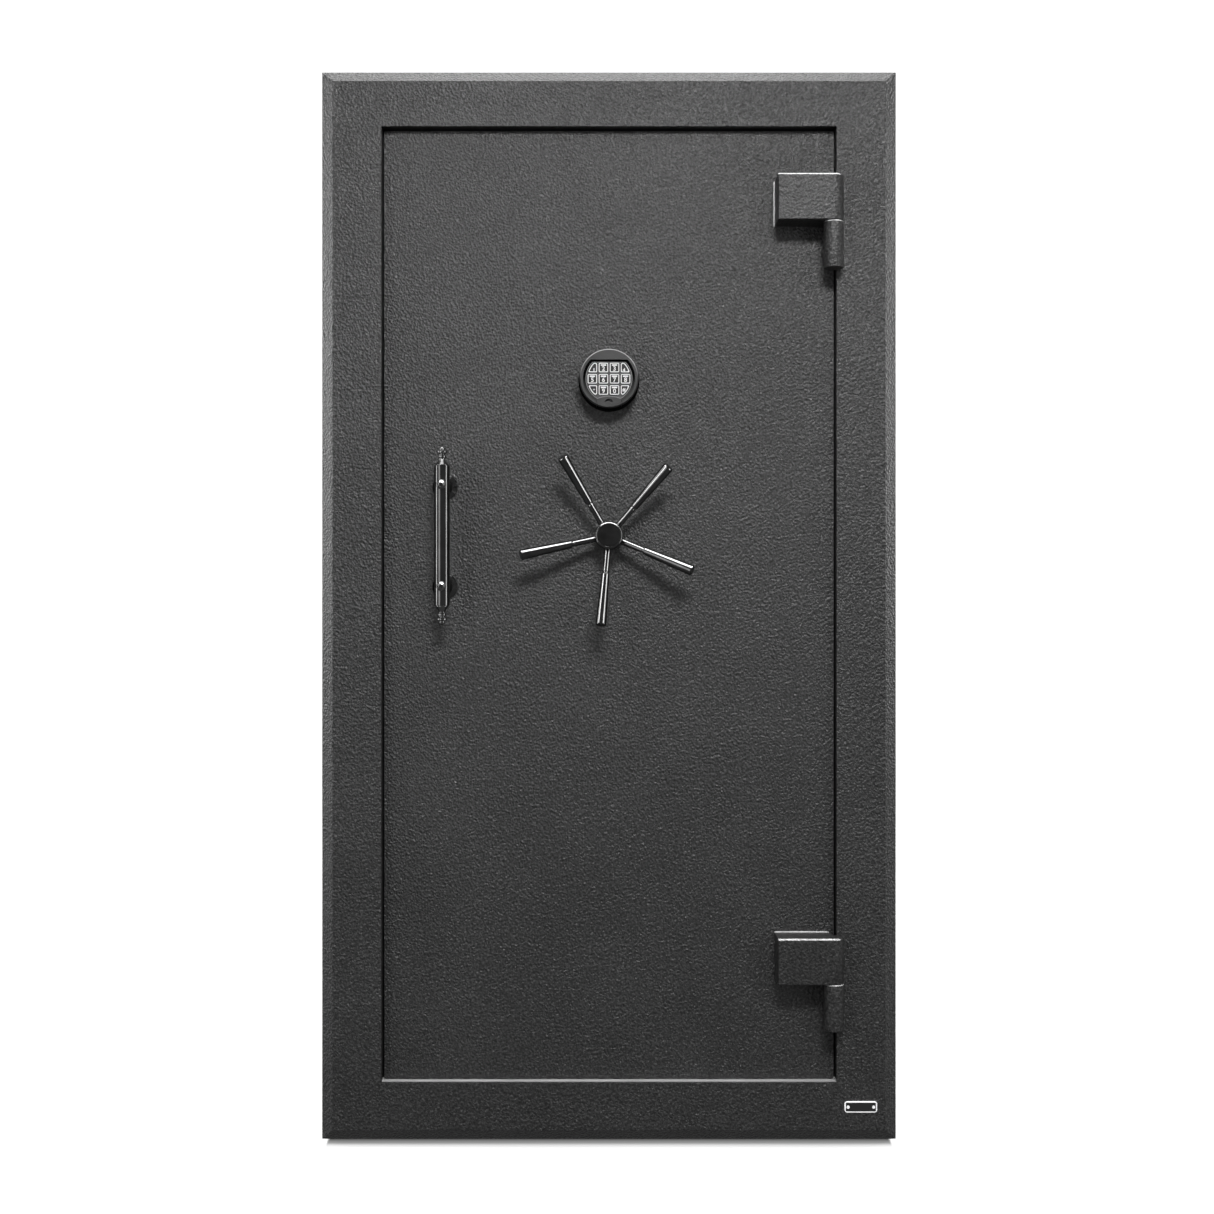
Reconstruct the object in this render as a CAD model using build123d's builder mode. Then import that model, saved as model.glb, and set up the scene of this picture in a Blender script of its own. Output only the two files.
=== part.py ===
from build123d import *
import os
from math import acos, cos, pi, radians, sin, sqrt, tan

# Gun safe: an upright welded steel cabinet with a recessed hinged door.
# Millimetres. X to the right, Y to the back, Z up. The front faces -Y.
# The origin is the centre of the cabinet's footprint, on the floor.
os.makedirs("parts", exist_ok=True)

# ---------------------------------------------------------------- cabinet
WIDTH = 820.0
HEIGHT = 1524.0
FRONT = -305.0
BACK = 305.0
SHEET = 4.0
CHAMFER = 18.0
OPEN_X = 323.0  # half width of the door opening
OPEN_Z0 = 85.0
OPEN_Z1 = 1442.0
BOARD = 32.0
CARPET = 3.0
ANCHOR_R = 8.0
ANCHOR_DX = 500.0
ANCHOR_DY = 360.0
ANCHOR_Y = 10.0

# ---------------------------------------------------------------- door jamb
JAMB_T = 3.0
LIP_IN = 20.0  # how far the step lip reaches into the opening
LIP_Y0 = -277.0
FLANGE_Y1 = -258.0

# ---------------------------------------------------------------- door
DOOR_GAP = 2.0
RECESS = 18.0
PLATE_T = 6.0
DOOR_X = OPEN_X - DOOR_GAP
DOOR_Z0 = OPEN_Z0 + DOOR_GAP
DOOR_Z1 = OPEN_Z1 - DOOR_GAP
PLATE_Y0 = FRONT + RECESS
PLATE_Y1 = PLATE_Y0 + PLATE_T
PAN_X0, PAN_X1 = -290.0, 300.0
PAN_Z0, PAN_Z1 = 108.0, 1419.0
PAN_Y1 = -196.0
PAN_T = 4.0
PAN_FLANGE = 16.0
COVER_Y1 = -190.0
WORK_Y0, WORK_Y1 = -258.0, -255.0

# ---------------------------------------------------------------- hinges
HINGE_X = 316.5
HINGE_Y = -320.0
BARREL_R = 14.0
PIN_R = 8.0
PIN_CLEAR = 0.08
HINGE_TOPS = (1303.0, 230.0)  # height at which each barrel meets its block
BARREL_H = 66.0
BLOCK_H = 65.0
BLOCK_X0 = 237.0

# ---------------------------------------------------------------- boltwork
AXIS_Z = 860.5
MODULE = 2.5
TEETH = 20
PITCH_R = MODULE * TEETH / 2
TIP_R = PITCH_R + MODULE
ROOT_R = PITCH_R - 1.25 * MODULE
BASE_R = PITCH_R * cos(radians(20))
RACK_PITCH = pi * MODULE
BACKLASH = 0.12
SHAFT_R = 10.0
SHAFT_CLEAR = 0.08
BOLT_R = 15.0
BOLT_Y = -239.5
BOLT_CLEAR = 0.1
SIDE_BOLT_Z = (233.5, 498.5, 763.5, 1028.5, 1293.5)
END_BOLT_X = (-150.0, 150.0)
SPIGOT_R = 6.0
ARM_A_Y0, ARM_A_Y1 = -252.0, -242.0  # layer of the sideways racks
ARM_B_Y0, ARM_B_Y1 = -238.0, -228.0  # layer of the upright racks

# ---------------------------------------------------------------- handle
HUB_R = 19.5
HUB_Y0, HUB_Y1 = -332.0, -297.0
SPOKE_REACH = 126.5
SPOKE_FIRST = 48.8
SPOKE_LEAN = radians(16.6)

# ---------------------------------------------------------------- keypad
PAD_Z = 1082.2
PAD_R = 43.2
PAD_FACE_R = 41.1
PAD_Y0 = -322.0
KEY_SIDE = 14.2
KEY_CLIP_R = 31.0
KEY_COLS = (-23.4, -7.8, 7.8, 23.4)
KEY_ROWS = (15.3, -0.5, -16.3)
KEY_GAP = 0.35

# ---------------------------------------------------------------- pull handle
PULL_X = -234.0
PULL_Z = 860.0
PULL_Y = -332.0
PULL_R = 11.0
PULL_LEN = 197.0
PULL_SPAN = 142.0


def front(y):
    """A sketch plane that faces the front of the safe, at depth y."""
    return Plane.XZ.offset(-y)


def block(x0, x1, y0, y1, z0, z1, mode=Mode.ADD):
    """A rectangular block between two corners."""
    with BuildSketch(Plane.XY.offset(z0)) as outline:
        with Locations(((x0 + x1) / 2, (y0 + y1) / 2)):
            Rectangle(x1 - x0, y1 - y0)
    extrude(outline.sketch, amount=z1 - z0, mode=mode)


def rod(plane, radius, length, spots=((0, 0),), mode=Mode.ADD):
    """Round bars that stand on a plane, one at each spot."""
    with BuildSketch(plane) as disc:
        with Locations(*spots):
            Circle(radius)
    extrude(disc.sketch, amount=length, mode=mode)


def prism(plane, points, length, mode=Mode.ADD, both=False):
    """A closed outline on a plane, drawn out to a length."""
    with BuildSketch(plane) as outline:
        with BuildLine():
            Polyline(*points, close=True)
        make_face()
    extrude(outline.sketch, amount=length, both=both, mode=mode)


def turned(plane, points, axis, mode=Mode.ADD):
    """A closed outline turned round an axis."""
    with BuildSketch(plane) as outline:
        with BuildLine():
            Polyline(*points, close=True)
        make_face()
    revolve(outline.sketch, axis=axis, mode=mode)


def finish(piece, label):
    piece.part.label = label
    export_step(piece.part, "parts/" + label + ".step")


def finish_group(pieces, label):
    """Separate solids that stand side by side share one node."""
    group = Compound(label=label, children=[p.part for p in pieces])
    export_step(group, "parts/" + label + ".step")


HALF_W = WIDTH / 2
WALL_IN = HALF_W - SHEET
WALL_Y0 = FRONT + CHAMFER
ANCHORS = [
    (sx * ANCHOR_DX / 2, ANCHOR_Y + sy * ANCHOR_DY / 2) for sx in (-1, 1) for sy in (-1, 1)
]

# ================================================================ cabinet shell
walls = []
for side in (-1, 1):
    with BuildPart() as side_wall:
        xs = sorted((side * WALL_IN, side * HALF_W))
        block(xs[0], xs[1], WALL_Y0, BACK, 0, HEIGHT)
    walls.append(side_wall)
finish_group(walls, "body_side_walls")

with BuildPart() as body_top_wall:
    block(-WALL_IN, WALL_IN, WALL_Y0, BACK, HEIGHT - SHEET, HEIGHT)
finish(body_top_wall, "body_top_wall")

with BuildPart() as body_bottom_plate:
    block(-WALL_IN, WALL_IN, WALL_Y0, BACK, 0, SHEET)
    rod(Plane.XY, ANCHOR_R, SHEET, ANCHORS, Mode.SUBTRACT)
finish(body_bottom_plate, "body_bottom_plate")

with BuildPart() as body_back_wall:
    block(-WALL_IN, WALL_IN, BACK - SHEET, BACK, SHEET, HEIGHT - SHEET)
finish(body_back_wall, "body_back_wall")

# The front frame is four folded rails, mitred at the corners.
FOLD = SHEET * tan(radians(22.5))
LIP = SHEET * sqrt(2)
MITRE = 20.0
rails = []
for side in (-1, 1):
    with BuildPart() as frame_side:
        prism(
            Plane.XY,
            [
                (side * OPEN_X, FRONT),
                (side * (HALF_W - CHAMFER), FRONT),
                (side * HALF_W, WALL_Y0),
                (side * (HALF_W - LIP), WALL_Y0),
                (side * (HALF_W - CHAMFER - FOLD), FRONT + SHEET),
                (side * OPEN_X, FRONT + SHEET),
            ],
            HEIGHT,
        )
        prism(
            Plane.XZ,
            [
                (side * HALF_W, 0),
                (side * (HALF_W - MITRE), MITRE),
                (side * OPEN_X, OPEN_Z0),
                (side * OPEN_X, OPEN_Z1),
                (side * (HALF_W - MITRE), HEIGHT - MITRE),
                (side * HALF_W, HEIGHT),
            ],
            400,
            Mode.INTERSECT,
            both=True,
        )
    rails.append(frame_side)
for z_out, z_in, up in ((HEIGHT, OPEN_Z1, 1), (0.0, OPEN_Z0, -1)):
    with BuildPart() as frame_end:
        prism(
            Plane.YZ,
            [
                (FRONT, z_in),
                (FRONT, z_out - up * CHAMFER),
                (WALL_Y0, z_out),
                (WALL_Y0, z_out - up * LIP),
                (FRONT + SHEET, z_out - up * (CHAMFER + FOLD)),
                (FRONT + SHEET, z_in),
            ],
            HALF_W,
            both=True,
        )
        prism(
            Plane.XZ,
            [
                (-HALF_W, z_out),
                (-HALF_W + MITRE, z_out - up * MITRE),
                (-OPEN_X, z_in),
                (OPEN_X, z_in),
                (HALF_W - MITRE, z_out - up * MITRE),
                (HALF_W, z_out),
            ],
            400,
            Mode.INTERSECT,
            both=True,
        )
    rails.append(frame_end)
finish_group(rails, "front_frame")

# The jamb is a Z-section: a return, a step lip behind the door's edge and a flange.
Y_RET = FRONT + SHEET
jambs = []
for side in (-1, 1):
    with BuildPart() as jamb_side:
        prism(
            Plane.XY.offset(OPEN_Z0 - JAMB_T),
            [
                (side * OPEN_X, Y_RET),
                (side * (OPEN_X + JAMB_T), Y_RET),
                (side * (OPEN_X + JAMB_T), LIP_Y0 + JAMB_T),
                (side * (OPEN_X - LIP_IN + JAMB_T), LIP_Y0 + JAMB_T),
                (side * (OPEN_X - LIP_IN + JAMB_T), FLANGE_Y1),
                (side * (OPEN_X - LIP_IN), FLANGE_Y1),
                (side * (OPEN_X - LIP_IN), LIP_Y0),
                (side * OPEN_X, LIP_Y0),
            ],
            OPEN_Z1 - OPEN_Z0 + 2 * JAMB_T,
        )
        prism(
            Plane.XZ,
            [
                (side * (OPEN_X + JAMB_T), OPEN_Z0 - JAMB_T),
                (side * (OPEN_X - LIP_IN), OPEN_Z0 + LIP_IN),
                (side * (OPEN_X - LIP_IN), OPEN_Z1 - LIP_IN),
                (side * (OPEN_X + JAMB_T), OPEN_Z1 + JAMB_T),
            ],
            400,
            Mode.INTERSECT,
            both=True,
        )
    jambs.append(jamb_side)
for z_in, up in ((OPEN_Z1, 1), (OPEN_Z0, -1)):
    with BuildPart() as jamb_end:
        prism(
            Plane.YZ,
            [
                (Y_RET, z_in),
                (Y_RET, z_in + up * JAMB_T),
                (LIP_Y0 + JAMB_T, z_in + up * JAMB_T),
                (LIP_Y0 + JAMB_T, z_in - up * (LIP_IN - JAMB_T)),
                (FLANGE_Y1, z_in - up * (LIP_IN - JAMB_T)),
                (FLANGE_Y1, z_in - up * LIP_IN),
                (LIP_Y0, z_in - up * LIP_IN),
                (LIP_Y0, z_in),
            ],
            OPEN_X + JAMB_T,
            both=True,
        )
        prism(
            Plane.XZ,
            [
                (-OPEN_X - JAMB_T, z_in + up * JAMB_T),
                (-OPEN_X + LIP_IN, z_in - up * LIP_IN),
                (OPEN_X - LIP_IN, z_in - up * LIP_IN),
                (OPEN_X + JAMB_T, z_in + up * JAMB_T),
            ],
            400,
            Mode.INTERSECT,
            both=True,
        )
    jambs.append(jamb_end)
finish_group(jambs, "door_jamb")

# Fire and smoke seal: flat strips on the step lip, just clear of the door plate.
SEAL_Y0 = PLATE_Y1 + 0.8
seals = []
for x0, x1, z0, z1 in (
    (-318, -306, 90, 1437),
    (306, 318, 90, 1437),
    (-306, 306, 1425, 1437),
    (-306, 306, 90, 102),
):
    with BuildPart() as seal:
        block(x0, x1, SEAL_Y0, LIP_Y0, z0, z1)
    seals.append(seal)
finish_group(seals, "door_seal")

# ================================================================ linings
BOARD_X = WALL_IN - BOARD
BOARD_Y0 = -283.0
BOARD_Y1 = BACK - SHEET
Z_FLOOR = SHEET + BOARD
Z_CEIL = HEIGHT - SHEET - BOARD
boards = []
for x0, x1, y0, y1, z0, z1 in (
    (-WALL_IN, -BOARD_X, BOARD_Y0, BOARD_Y1, SHEET, HEIGHT - SHEET),
    (BOARD_X, WALL_IN, BOARD_Y0, BOARD_Y1, SHEET, HEIGHT - SHEET),
    (-BOARD_X, BOARD_X, BOARD_Y0, BOARD_Y1, Z_CEIL, HEIGHT - SHEET),
    (-BOARD_X, BOARD_X, BOARD_Y1 - BOARD, BOARD_Y1, Z_FLOOR, Z_CEIL),
):
    with BuildPart() as board:
        block(x0, x1, y0, y1, z0, z1)
    boards.append(board)
with BuildPart() as floor_board:
    block(-BOARD_X, BOARD_X, BOARD_Y0, BOARD_Y1, SHEET, Z_FLOOR)
    rod(Plane.XY.offset(SHEET), ANCHOR_R, BOARD, ANCHORS, Mode.SUBTRACT)
boards.append(floor_board)
finish_group(boards, "fireboard_lining")

IN_X = BOARD_X - CARPET
IN_Y1 = BOARD_Y1 - BOARD - CARPET
IN_Z0 = Z_FLOOR + CARPET
IN_Z1 = Z_CEIL - CARPET
carpets = []
for x0, x1, y0, y1, z0, z1 in (
    (-BOARD_X, -IN_X, BOARD_Y0, IN_Y1 + CARPET, IN_Z0, IN_Z1),
    (IN_X, BOARD_X, BOARD_Y0, IN_Y1 + CARPET, IN_Z0, IN_Z1),
    (-BOARD_X, BOARD_X, BOARD_Y0, IN_Y1 + CARPET, IN_Z1, Z_CEIL),
    (-IN_X, IN_X, IN_Y1, IN_Y1 + CARPET, IN_Z0, IN_Z1),
):
    with BuildPart() as carpet:
        block(x0, x1, y0, y1, z0, z1)
    carpets.append(carpet)
with BuildPart() as floor_carpet:
    block(-BOARD_X, BOARD_X, BOARD_Y0, IN_Y1 + CARPET, Z_FLOOR, IN_Z0)
    rod(Plane.XY.offset(Z_FLOOR), ANCHOR_R, CARPET, ANCHORS, Mode.SUBTRACT)
carpets.append(floor_carpet)
finish_group(carpets, "carpet_lining")

# ================================================================ interior fittings
FIT_Y0 = -165.0
DIV_X0, DIV_X1 = 52.0, 68.0
TOP_Z0, TOP_Z1 = 1282.0, 1300.0
SHELF_T = 16.0
SHELF_Z = (290.0, 530.0, 770.0, 1010.0)

with BuildPart() as top_shelf:
    block(-IN_X + 0.5, IN_X - 0.5, FIT_Y0, IN_Y1, TOP_Z0, TOP_Z1)
    fillet(top_shelf.edges().filter_by(Axis.X).group_by(Axis.Y)[0], 4)
finish(top_shelf, "top_shelf")

with BuildPart() as center_divider:
    block(DIV_X0, DIV_X1, FIT_Y0, IN_Y1, IN_Z0, TOP_Z0)
    fillet(center_divider.edges().filter_by(Axis.Z).group_by(Axis.Y)[0], 4)
finish(center_divider, "center_divider")

with BuildPart() as side_shelves:
    for z in SHELF_Z:
        block(DIV_X1 + 0.5, IN_X - 0.5, FIT_Y0, IN_Y1, z, z + SHELF_T)
    fillet(side_shelves.edges().filter_by(Axis.X).group_by(Axis.Y)[0], 4)
finish(side_shelves, "side_shelves")

# Long guns stand butt down and lean into the notches of the barrel rest.
REST_Z0, REST_T = 1012.0, 24.0
REST_Y0, REST_Y1 = 140.0, IN_Y1
NOTCH_W, NOTCH_D = 34.0, 62.0
NOTCH_X = [-325.0 + 66.0 * i for i in range(6)]
with BuildPart() as barrel_rest:
    block(-IN_X + 0.5, DIV_X0 - 0.5, REST_Y0, REST_Y1, REST_Z0, REST_Z0 + REST_T)
    for x in NOTCH_X:
        block(
            x - NOTCH_W / 2,
            x + NOTCH_W / 2,
            REST_Y0 - 1,
            REST_Y0 + NOTCH_D - NOTCH_W / 2,
            REST_Z0,
            REST_Z0 + REST_T,
            Mode.SUBTRACT,
        )
        rod(
            Plane.XY.offset(REST_Z0),
            NOTCH_W / 2,
            REST_T,
            ((x, REST_Y0 + NOTCH_D - NOTCH_W / 2),),
            Mode.SUBTRACT,
        )
finish(barrel_rest, "barrel_rest")

# Steel angle clips carry the shelves and the barrel rest.
with BuildPart() as shelf_clips:
    spots = []
    for z in SHELF_Z:
        for y in (-120.0, 220.0):
            spots += [(DIV_X1, 1, y, z), (IN_X, -1, y, z)]
    for y in (-120.0, 220.0):
        spots += [(-IN_X, 1, y, TOP_Z0), (IN_X, -1, y, TOP_Z0)]
    for y in (165.0, 235.0):
        spots += [(-IN_X, 1, y, REST_Z0), (DIV_X0, -1, y, REST_Z0)]
    for x, out, y, z in spots:
        prism(
            Plane.XZ.offset(-(y + 12)),
            [
                (x, z),
                (x + out * 22, z),
                (x + out * 22, z - 2),
                (x + out * 2, z - 2),
                (x + out * 2, z - 22),
                (x, z - 22),
            ],
            24,
        )
finish(shelf_clips, "shelf_clips")

# ================================================================ name plate
with BuildPart() as name_plate:
    with BuildSketch(front(FRONT)) as plate_outline:
        with Locations((357.0, 51.3)):
            RectangleRounded(46.5, 16.0, 4.5)
    extrude(plate_outline.sketch, amount=1.2)
    fillet(name_plate.faces().sort_by(Axis.Y)[0].edges(), 0.4)
    rod(front(FRONT - 1.0), 2.25, 0.9, ((338.9, 51.3), (375.1, 51.3)))
finish(name_plate, "name_plate")

# ================================================================ hinges
barrels = []
with BuildPart() as hinge_barrels:
    for top in HINGE_TOPS:
        rod(Plane.XY.offset(top - BARREL_H), BARREL_R, BARREL_H, ((HINGE_X, HINGE_Y),))
    chamfer(hinge_barrels.edges().filter_by(GeomType.CIRCLE), 1.2)
    for top in HINGE_TOPS:
        block(324, 333, -312, FRONT, top - BARREL_H + 8, top - 8)
        rod(Plane.XY.offset(top - BARREL_H + 6), PIN_R, BARREL_H, ((HINGE_X, HINGE_Y),), Mode.SUBTRACT)
finish(hinge_barrels, "hinge_barrels")

with BuildPart() as hinge_pins:
    for top in HINGE_TOPS:
        rod(Plane.XY.offset(top - BARREL_H + 6), PIN_R, 110, ((HINGE_X, HINGE_Y),))
    chamfer(hinge_pins.edges().filter_by(GeomType.CIRCLE), 1.0)
finish(hinge_pins, "hinge_pins")

with BuildPart() as hinge_blocks:
    for top in HINGE_TOPS:
        with BuildSketch(Plane.XY.offset(top + 0.1)) as block_outline:
            with Locations(((BLOCK_X0 + HINGE_X) / 2, (HINGE_Y - BARREL_R + PLATE_Y0) / 2)):
                Rectangle(HINGE_X - BLOCK_X0, PLATE_Y0 - HINGE_Y + BARREL_R)
            with Locations((HINGE_X, HINGE_Y)):
                Circle(BARREL_R)
        extrude(block_outline.sketch, amount=BLOCK_H - 0.1)
    chamfer(
        [e for e in hinge_blocks.faces().sort_by(Axis.Y)[0].edges() if e.center().X < HINGE_X - 1]
        + [e for e in hinge_blocks.faces().sort_by(Axis.Y)[1].edges() if e.center().X < HINGE_X - 1],
        1.2,
    )
    for top in HINGE_TOPS:
        rod(Plane.XY.offset(top), PIN_R + PIN_CLEAR, 52, ((HINGE_X, HINGE_Y),), Mode.SUBTRACT)
finish(hinge_blocks, "hinge_blocks")

# ================================================================ door shell
PULL_SPOTS = ((PULL_X, PULL_Z - PULL_SPAN / 2), (PULL_X, PULL_Z + PULL_SPAN / 2))
SLEEVE_R = 14.0
with BuildPart() as door_plate:
    block(-DOOR_X, DOOR_X, PLATE_Y0, PLATE_Y1, DOOR_Z0, DOOR_Z1)
    rod(front(PLATE_Y1), SLEEVE_R, PLATE_T, ((0, AXIS_Z),), Mode.SUBTRACT)
    rod(front(PLATE_Y1), 3.0, PLATE_T, ((0, PAD_Z),), Mode.SUBTRACT)
    rod(front(PLATE_Y1 - 2), 3.0, PLATE_T, PULL_SPOTS, Mode.SUBTRACT)
finish(door_plate, "door_plate")

# The pan is four angle rails welded to the back of the plate. The bolts run in it.
WALL_BOLTS = [(BOLT_Y, z) for z in SIDE_BOLT_Z]
END_BOLTS = [(x, BOLT_Y) for x in END_BOLT_X]
SCREW_SPOTS = [(x, z) for x in (PAN_X0 + 12.0, PAN_X1 - 12.0) for z in (160.0, 560.0, 960.0, 1370.0)]
pans = []
for x_out, inward in ((PAN_X0, 1), (PAN_X1, -1)):
    with BuildPart() as pan_side:
        xs = sorted((x_out, x_out + inward * PAN_T))
        block(xs[0], xs[1], PLATE_Y1, PAN_Y1, PAN_Z0, PAN_Z1)
        xs = sorted((x_out + inward * PAN_T, x_out + inward * (PAN_T + PAN_FLANGE)))
        block(xs[0], xs[1], PAN_Y1 - 3, PAN_Y1, PAN_Z0, PAN_Z1)
        rod(Plane.YZ.offset(min(x_out, x_out + inward * PAN_T)), BOLT_R + BOLT_CLEAR, PAN_T, WALL_BOLTS, Mode.SUBTRACT)
        rod(front(PAN_Y1), 2.5, 3, [s for s in SCREW_SPOTS if (s[0] < 0) == (x_out < 0)], Mode.SUBTRACT)
    pans.append(pan_side)
for z_out, inward in ((PAN_Z1, -1), (PAN_Z0, 1)):
    with BuildPart() as pan_end:
        zs = sorted((z_out, z_out + inward * PAN_T))
        block(PAN_X0 + PAN_T, PAN_X1 - PAN_T, PLATE_Y1, PAN_Y1 - 3, zs[0], zs[1])
        zs = sorted((z_out, z_out + inward * (PAN_T + PAN_FLANGE)))
        block(PAN_X0 + PAN_T + PAN_FLANGE, PAN_X1 - PAN_T - PAN_FLANGE, PAN_Y1 - 3, PAN_Y1, zs[0], zs[1])
        rod(Plane.XY.offset(min(z_out, z_out + inward * PAN_T)), BOLT_R + BOLT_CLEAR, PAN_T, END_BOLTS, Mode.SUBTRACT)
    pans.append(pan_end)
finish_group(pans, "door_pan")

with BuildPart() as door_fireboard:
    block(PAN_X0 + 4.5, PAN_X1 - 4.5, PLATE_Y1, WORK_Y0, PAN_Z0 + 4.5, PAN_Z1 - 4.5)
    rod(front(WORK_Y0), SLEEVE_R, 23, ((0, AXIS_Z),), Mode.SUBTRACT)
    rod(front(WORK_Y0), 3.0, 23, ((0, PAD_Z),), Mode.SUBTRACT)
finish(door_fireboard, "door_fireboard")

with BuildPart() as boltwork_plate:
    block(PAN_X0 + 4.5, PAN_X1 - 4.5, WORK_Y0, WORK_Y1, PAN_Z0 + 4.5, PAN_Z1 - 4.5)
    rod(front(WORK_Y1), SLEEVE_R, 3, ((0, AXIS_Z),), Mode.SUBTRACT)
    rod(front(WORK_Y1), 3.0, 3, ((0, PAD_Z),), Mode.SUBTRACT)
finish(boltwork_plate, "boltwork_plate")

with BuildPart() as door_cover_panel:
    block(PAN_X0 + 2, PAN_X1 - 2, PAN_Y1, COVER_Y1, PAN_Z0 + 2, PAN_Z1 - 2)
    rod(front(COVER_Y1), 2.5, 6, SCREW_SPOTS, Mode.SUBTRACT)
finish(door_cover_panel, "door_cover_panel")

with BuildPart() as door_screws:
    rod(front(COVER_Y1), 2.5, 10, SCREW_SPOTS)
    rod(front(COVER_Y1 + 2.4), 5.0, 2.4, SCREW_SPOTS)
    fillet(door_screws.edges().filter_by(GeomType.CIRCLE).group_by(Axis.Y)[-1], 1.4)
finish(door_screws, "door_screws")

with BuildPart() as spindle_bushing:
    rod(front(WORK_Y1), SLEEVE_R, PLATE_Y0 * -1 + WORK_Y1, ((0, AXIS_Z),))
    rod(front(PLATE_Y0), 18.0, 4.0, ((0, AXIS_Z),))
    chamfer(spindle_bushing.edges().filter_by(GeomType.CIRCLE).group_by(Axis.Y)[0], 1.0)
    rod(front(WORK_Y1), SHAFT_R + SHAFT_CLEAR, 40, ((0, AXIS_Z),), Mode.SUBTRACT)
finish(spindle_bushing, "spindle_bushing")

# ================================================================ handle and pinion
SPOKE_ANGLES = [radians(SPOKE_FIRST + 72 * k) for k in range(5)]
SPOKE_R0 = 12.0
SPOKE_Y0 = -311.5
SPOKE_LEN = (SPOKE_REACH - SPOKE_R0) / cos(SPOKE_LEAN)
STEP_S = (50.0 - SPOKE_R0) / cos(SPOKE_LEAN)


def spoke_frame(angle):
    """Root, direction and a plane with its x along the spoke and its y across it."""
    root = Vector(SPOKE_R0 * cos(angle), SPOKE_Y0, AXIS_Z + SPOKE_R0 * sin(angle))
    along = Vector(cos(angle) * cos(SPOKE_LEAN), -sin(SPOKE_LEAN), sin(angle) * cos(SPOKE_LEAN))
    side = Vector(-sin(angle), 0, cos(angle))
    return root, along, Plane(origin=root, x_dir=along, z_dir=along.cross(side))


with BuildPart() as handle_hub:
    rod(front(HUB_Y1), HUB_R, HUB_Y1 - HUB_Y0, ((0, AXIS_Z),))
    fillet(handle_hub.edges().filter_by(GeomType.CIRCLE).group_by(Axis.Y)[0], 3.2)
    # A groove that sets the flat cap off from the rounded rim.
    with BuildSketch(front(HUB_Y0)) as cap_groove:
        with Locations((0, AXIS_Z)):
            Circle(16.1)
            Circle(15.4, mode=Mode.SUBTRACT)
    extrude(cap_groove.sketch, amount=-0.8, mode=Mode.SUBTRACT)
    rod(front(HUB_Y1), SHAFT_R, 12, ((0, AXIS_Z),), Mode.SUBTRACT)
    for angle in SPOKE_ANGLES:
        root, along, plane = spoke_frame(angle)
        turned(plane, [(0, 0), (14, 0), (14, 4.5), (0, 4.5)], Axis(root, along), Mode.SUBTRACT)
finish(handle_hub, "handle_hub")

with BuildPart() as handle_spokes:
    for angle in SPOKE_ANGLES:
        root, along, plane = spoke_frame(angle)
        turned(
            plane,
            [
                (0, 0),
                (SPOKE_LEN, 0),
                (SPOKE_LEN, 6.2),
                (SPOKE_LEN - 0.5, 7.2),
                (SPOKE_LEN - 1.6, 7.75),
                (STEP_S + 5.2, 5.6),
                (STEP_S + 4.0, 5.0),
                (STEP_S + 3.2, 4.0),
                (STEP_S + 1.4, 4.0),
                (STEP_S + 0.6, 4.5),
                (0, 4.5),
            ],
            Axis(root, along),
        )
finish(handle_spokes, "handle_spokes")


def involute(phi):
    return tan(phi) - phi


def half_tooth(r):
    """Half angle of a pinion tooth at radius r."""
    if r <= BASE_R:
        return pi / (2 * TEETH) + involute(radians(20))
    return pi / (2 * TEETH) + involute(radians(20)) - involute(acos(BASE_R / r))


with BuildPart() as pinion_shaft:
    rod(front(-205), SHAFT_R, 309 - 205 + 0.0, ((0, AXIS_Z),))
    chamfer(pinion_shaft.edges().filter_by(GeomType.CIRCLE).group_by(Axis.Y)[-1], 1.0)
    radii = [ROOT_R, BASE_R, 24.3, PITCH_R, 25.8, 26.6, TIP_R]
    outline_pts = []
    for k in range(TEETH):
        mid = 2 * pi * k / TEETH
        for r in radii:
            a = mid - half_tooth(r)
            outline_pts.append((r * cos(a), AXIS_Z + r * sin(a)))
        for r in reversed(radii):
            a = mid + half_tooth(r)
            outline_pts.append((r * cos(a), AXIS_Z + r * sin(a)))
    prism(front(-227), outline_pts, 26)
finish(pinion_shaft, "pinion_shaft")

# ================================================================ racks and bolts
TIP_H = PITCH_R - MODULE
ROOT_H = PITCH_R + 1.25 * MODULE
HALF_TIP = RACK_PITCH / 4 - MODULE * tan(radians(20)) - BACKLASH
HALF_ROOT = RACK_PITCH / 4 + 1.25 * MODULE * tan(radians(20)) - BACKLASH
BODY_H = 40.0


def rack_points(far, near):
    """Outline of a rack arm. u runs along the arm, v away from the pinion's axis.
    The teeth face the axis, with a space centred on it."""
    pts = [(-far, BODY_H), (-far, ROOT_H)]
    first = -3
    for k in range(first, 7):
        u = RACK_PITCH * (k + 0.5)
        pts += [(u - HALF_ROOT, ROOT_H), (u - HALF_TIP, TIP_H), (u + HALF_TIP, TIP_H), (u + HALF_ROOT, ROOT_H)]
    pts += [(near, ROOT_H), (near, BODY_H)]
    return pts


BAR_Y0, BAR_Y1 = -252.0, -228.0
BAR_Z0, BAR_Z1 = 200.0, 1330.0
REACH = 55.0

with BuildPart() as left_bolt_bar:
    block(-215, -207, BAR_Y0, BAR_Y1, BAR_Z0, BAR_Z1)
    prism(front(ARM_A_Y1), [(u, AXIS_Z + v) for u, v in rack_points(207, REACH)], 10)
    rod(Plane.YZ.offset(-215), SPIGOT_R, 8, WALL_BOLTS, Mode.SUBTRACT)
finish(left_bolt_bar, "left_bolt_bar")

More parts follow.
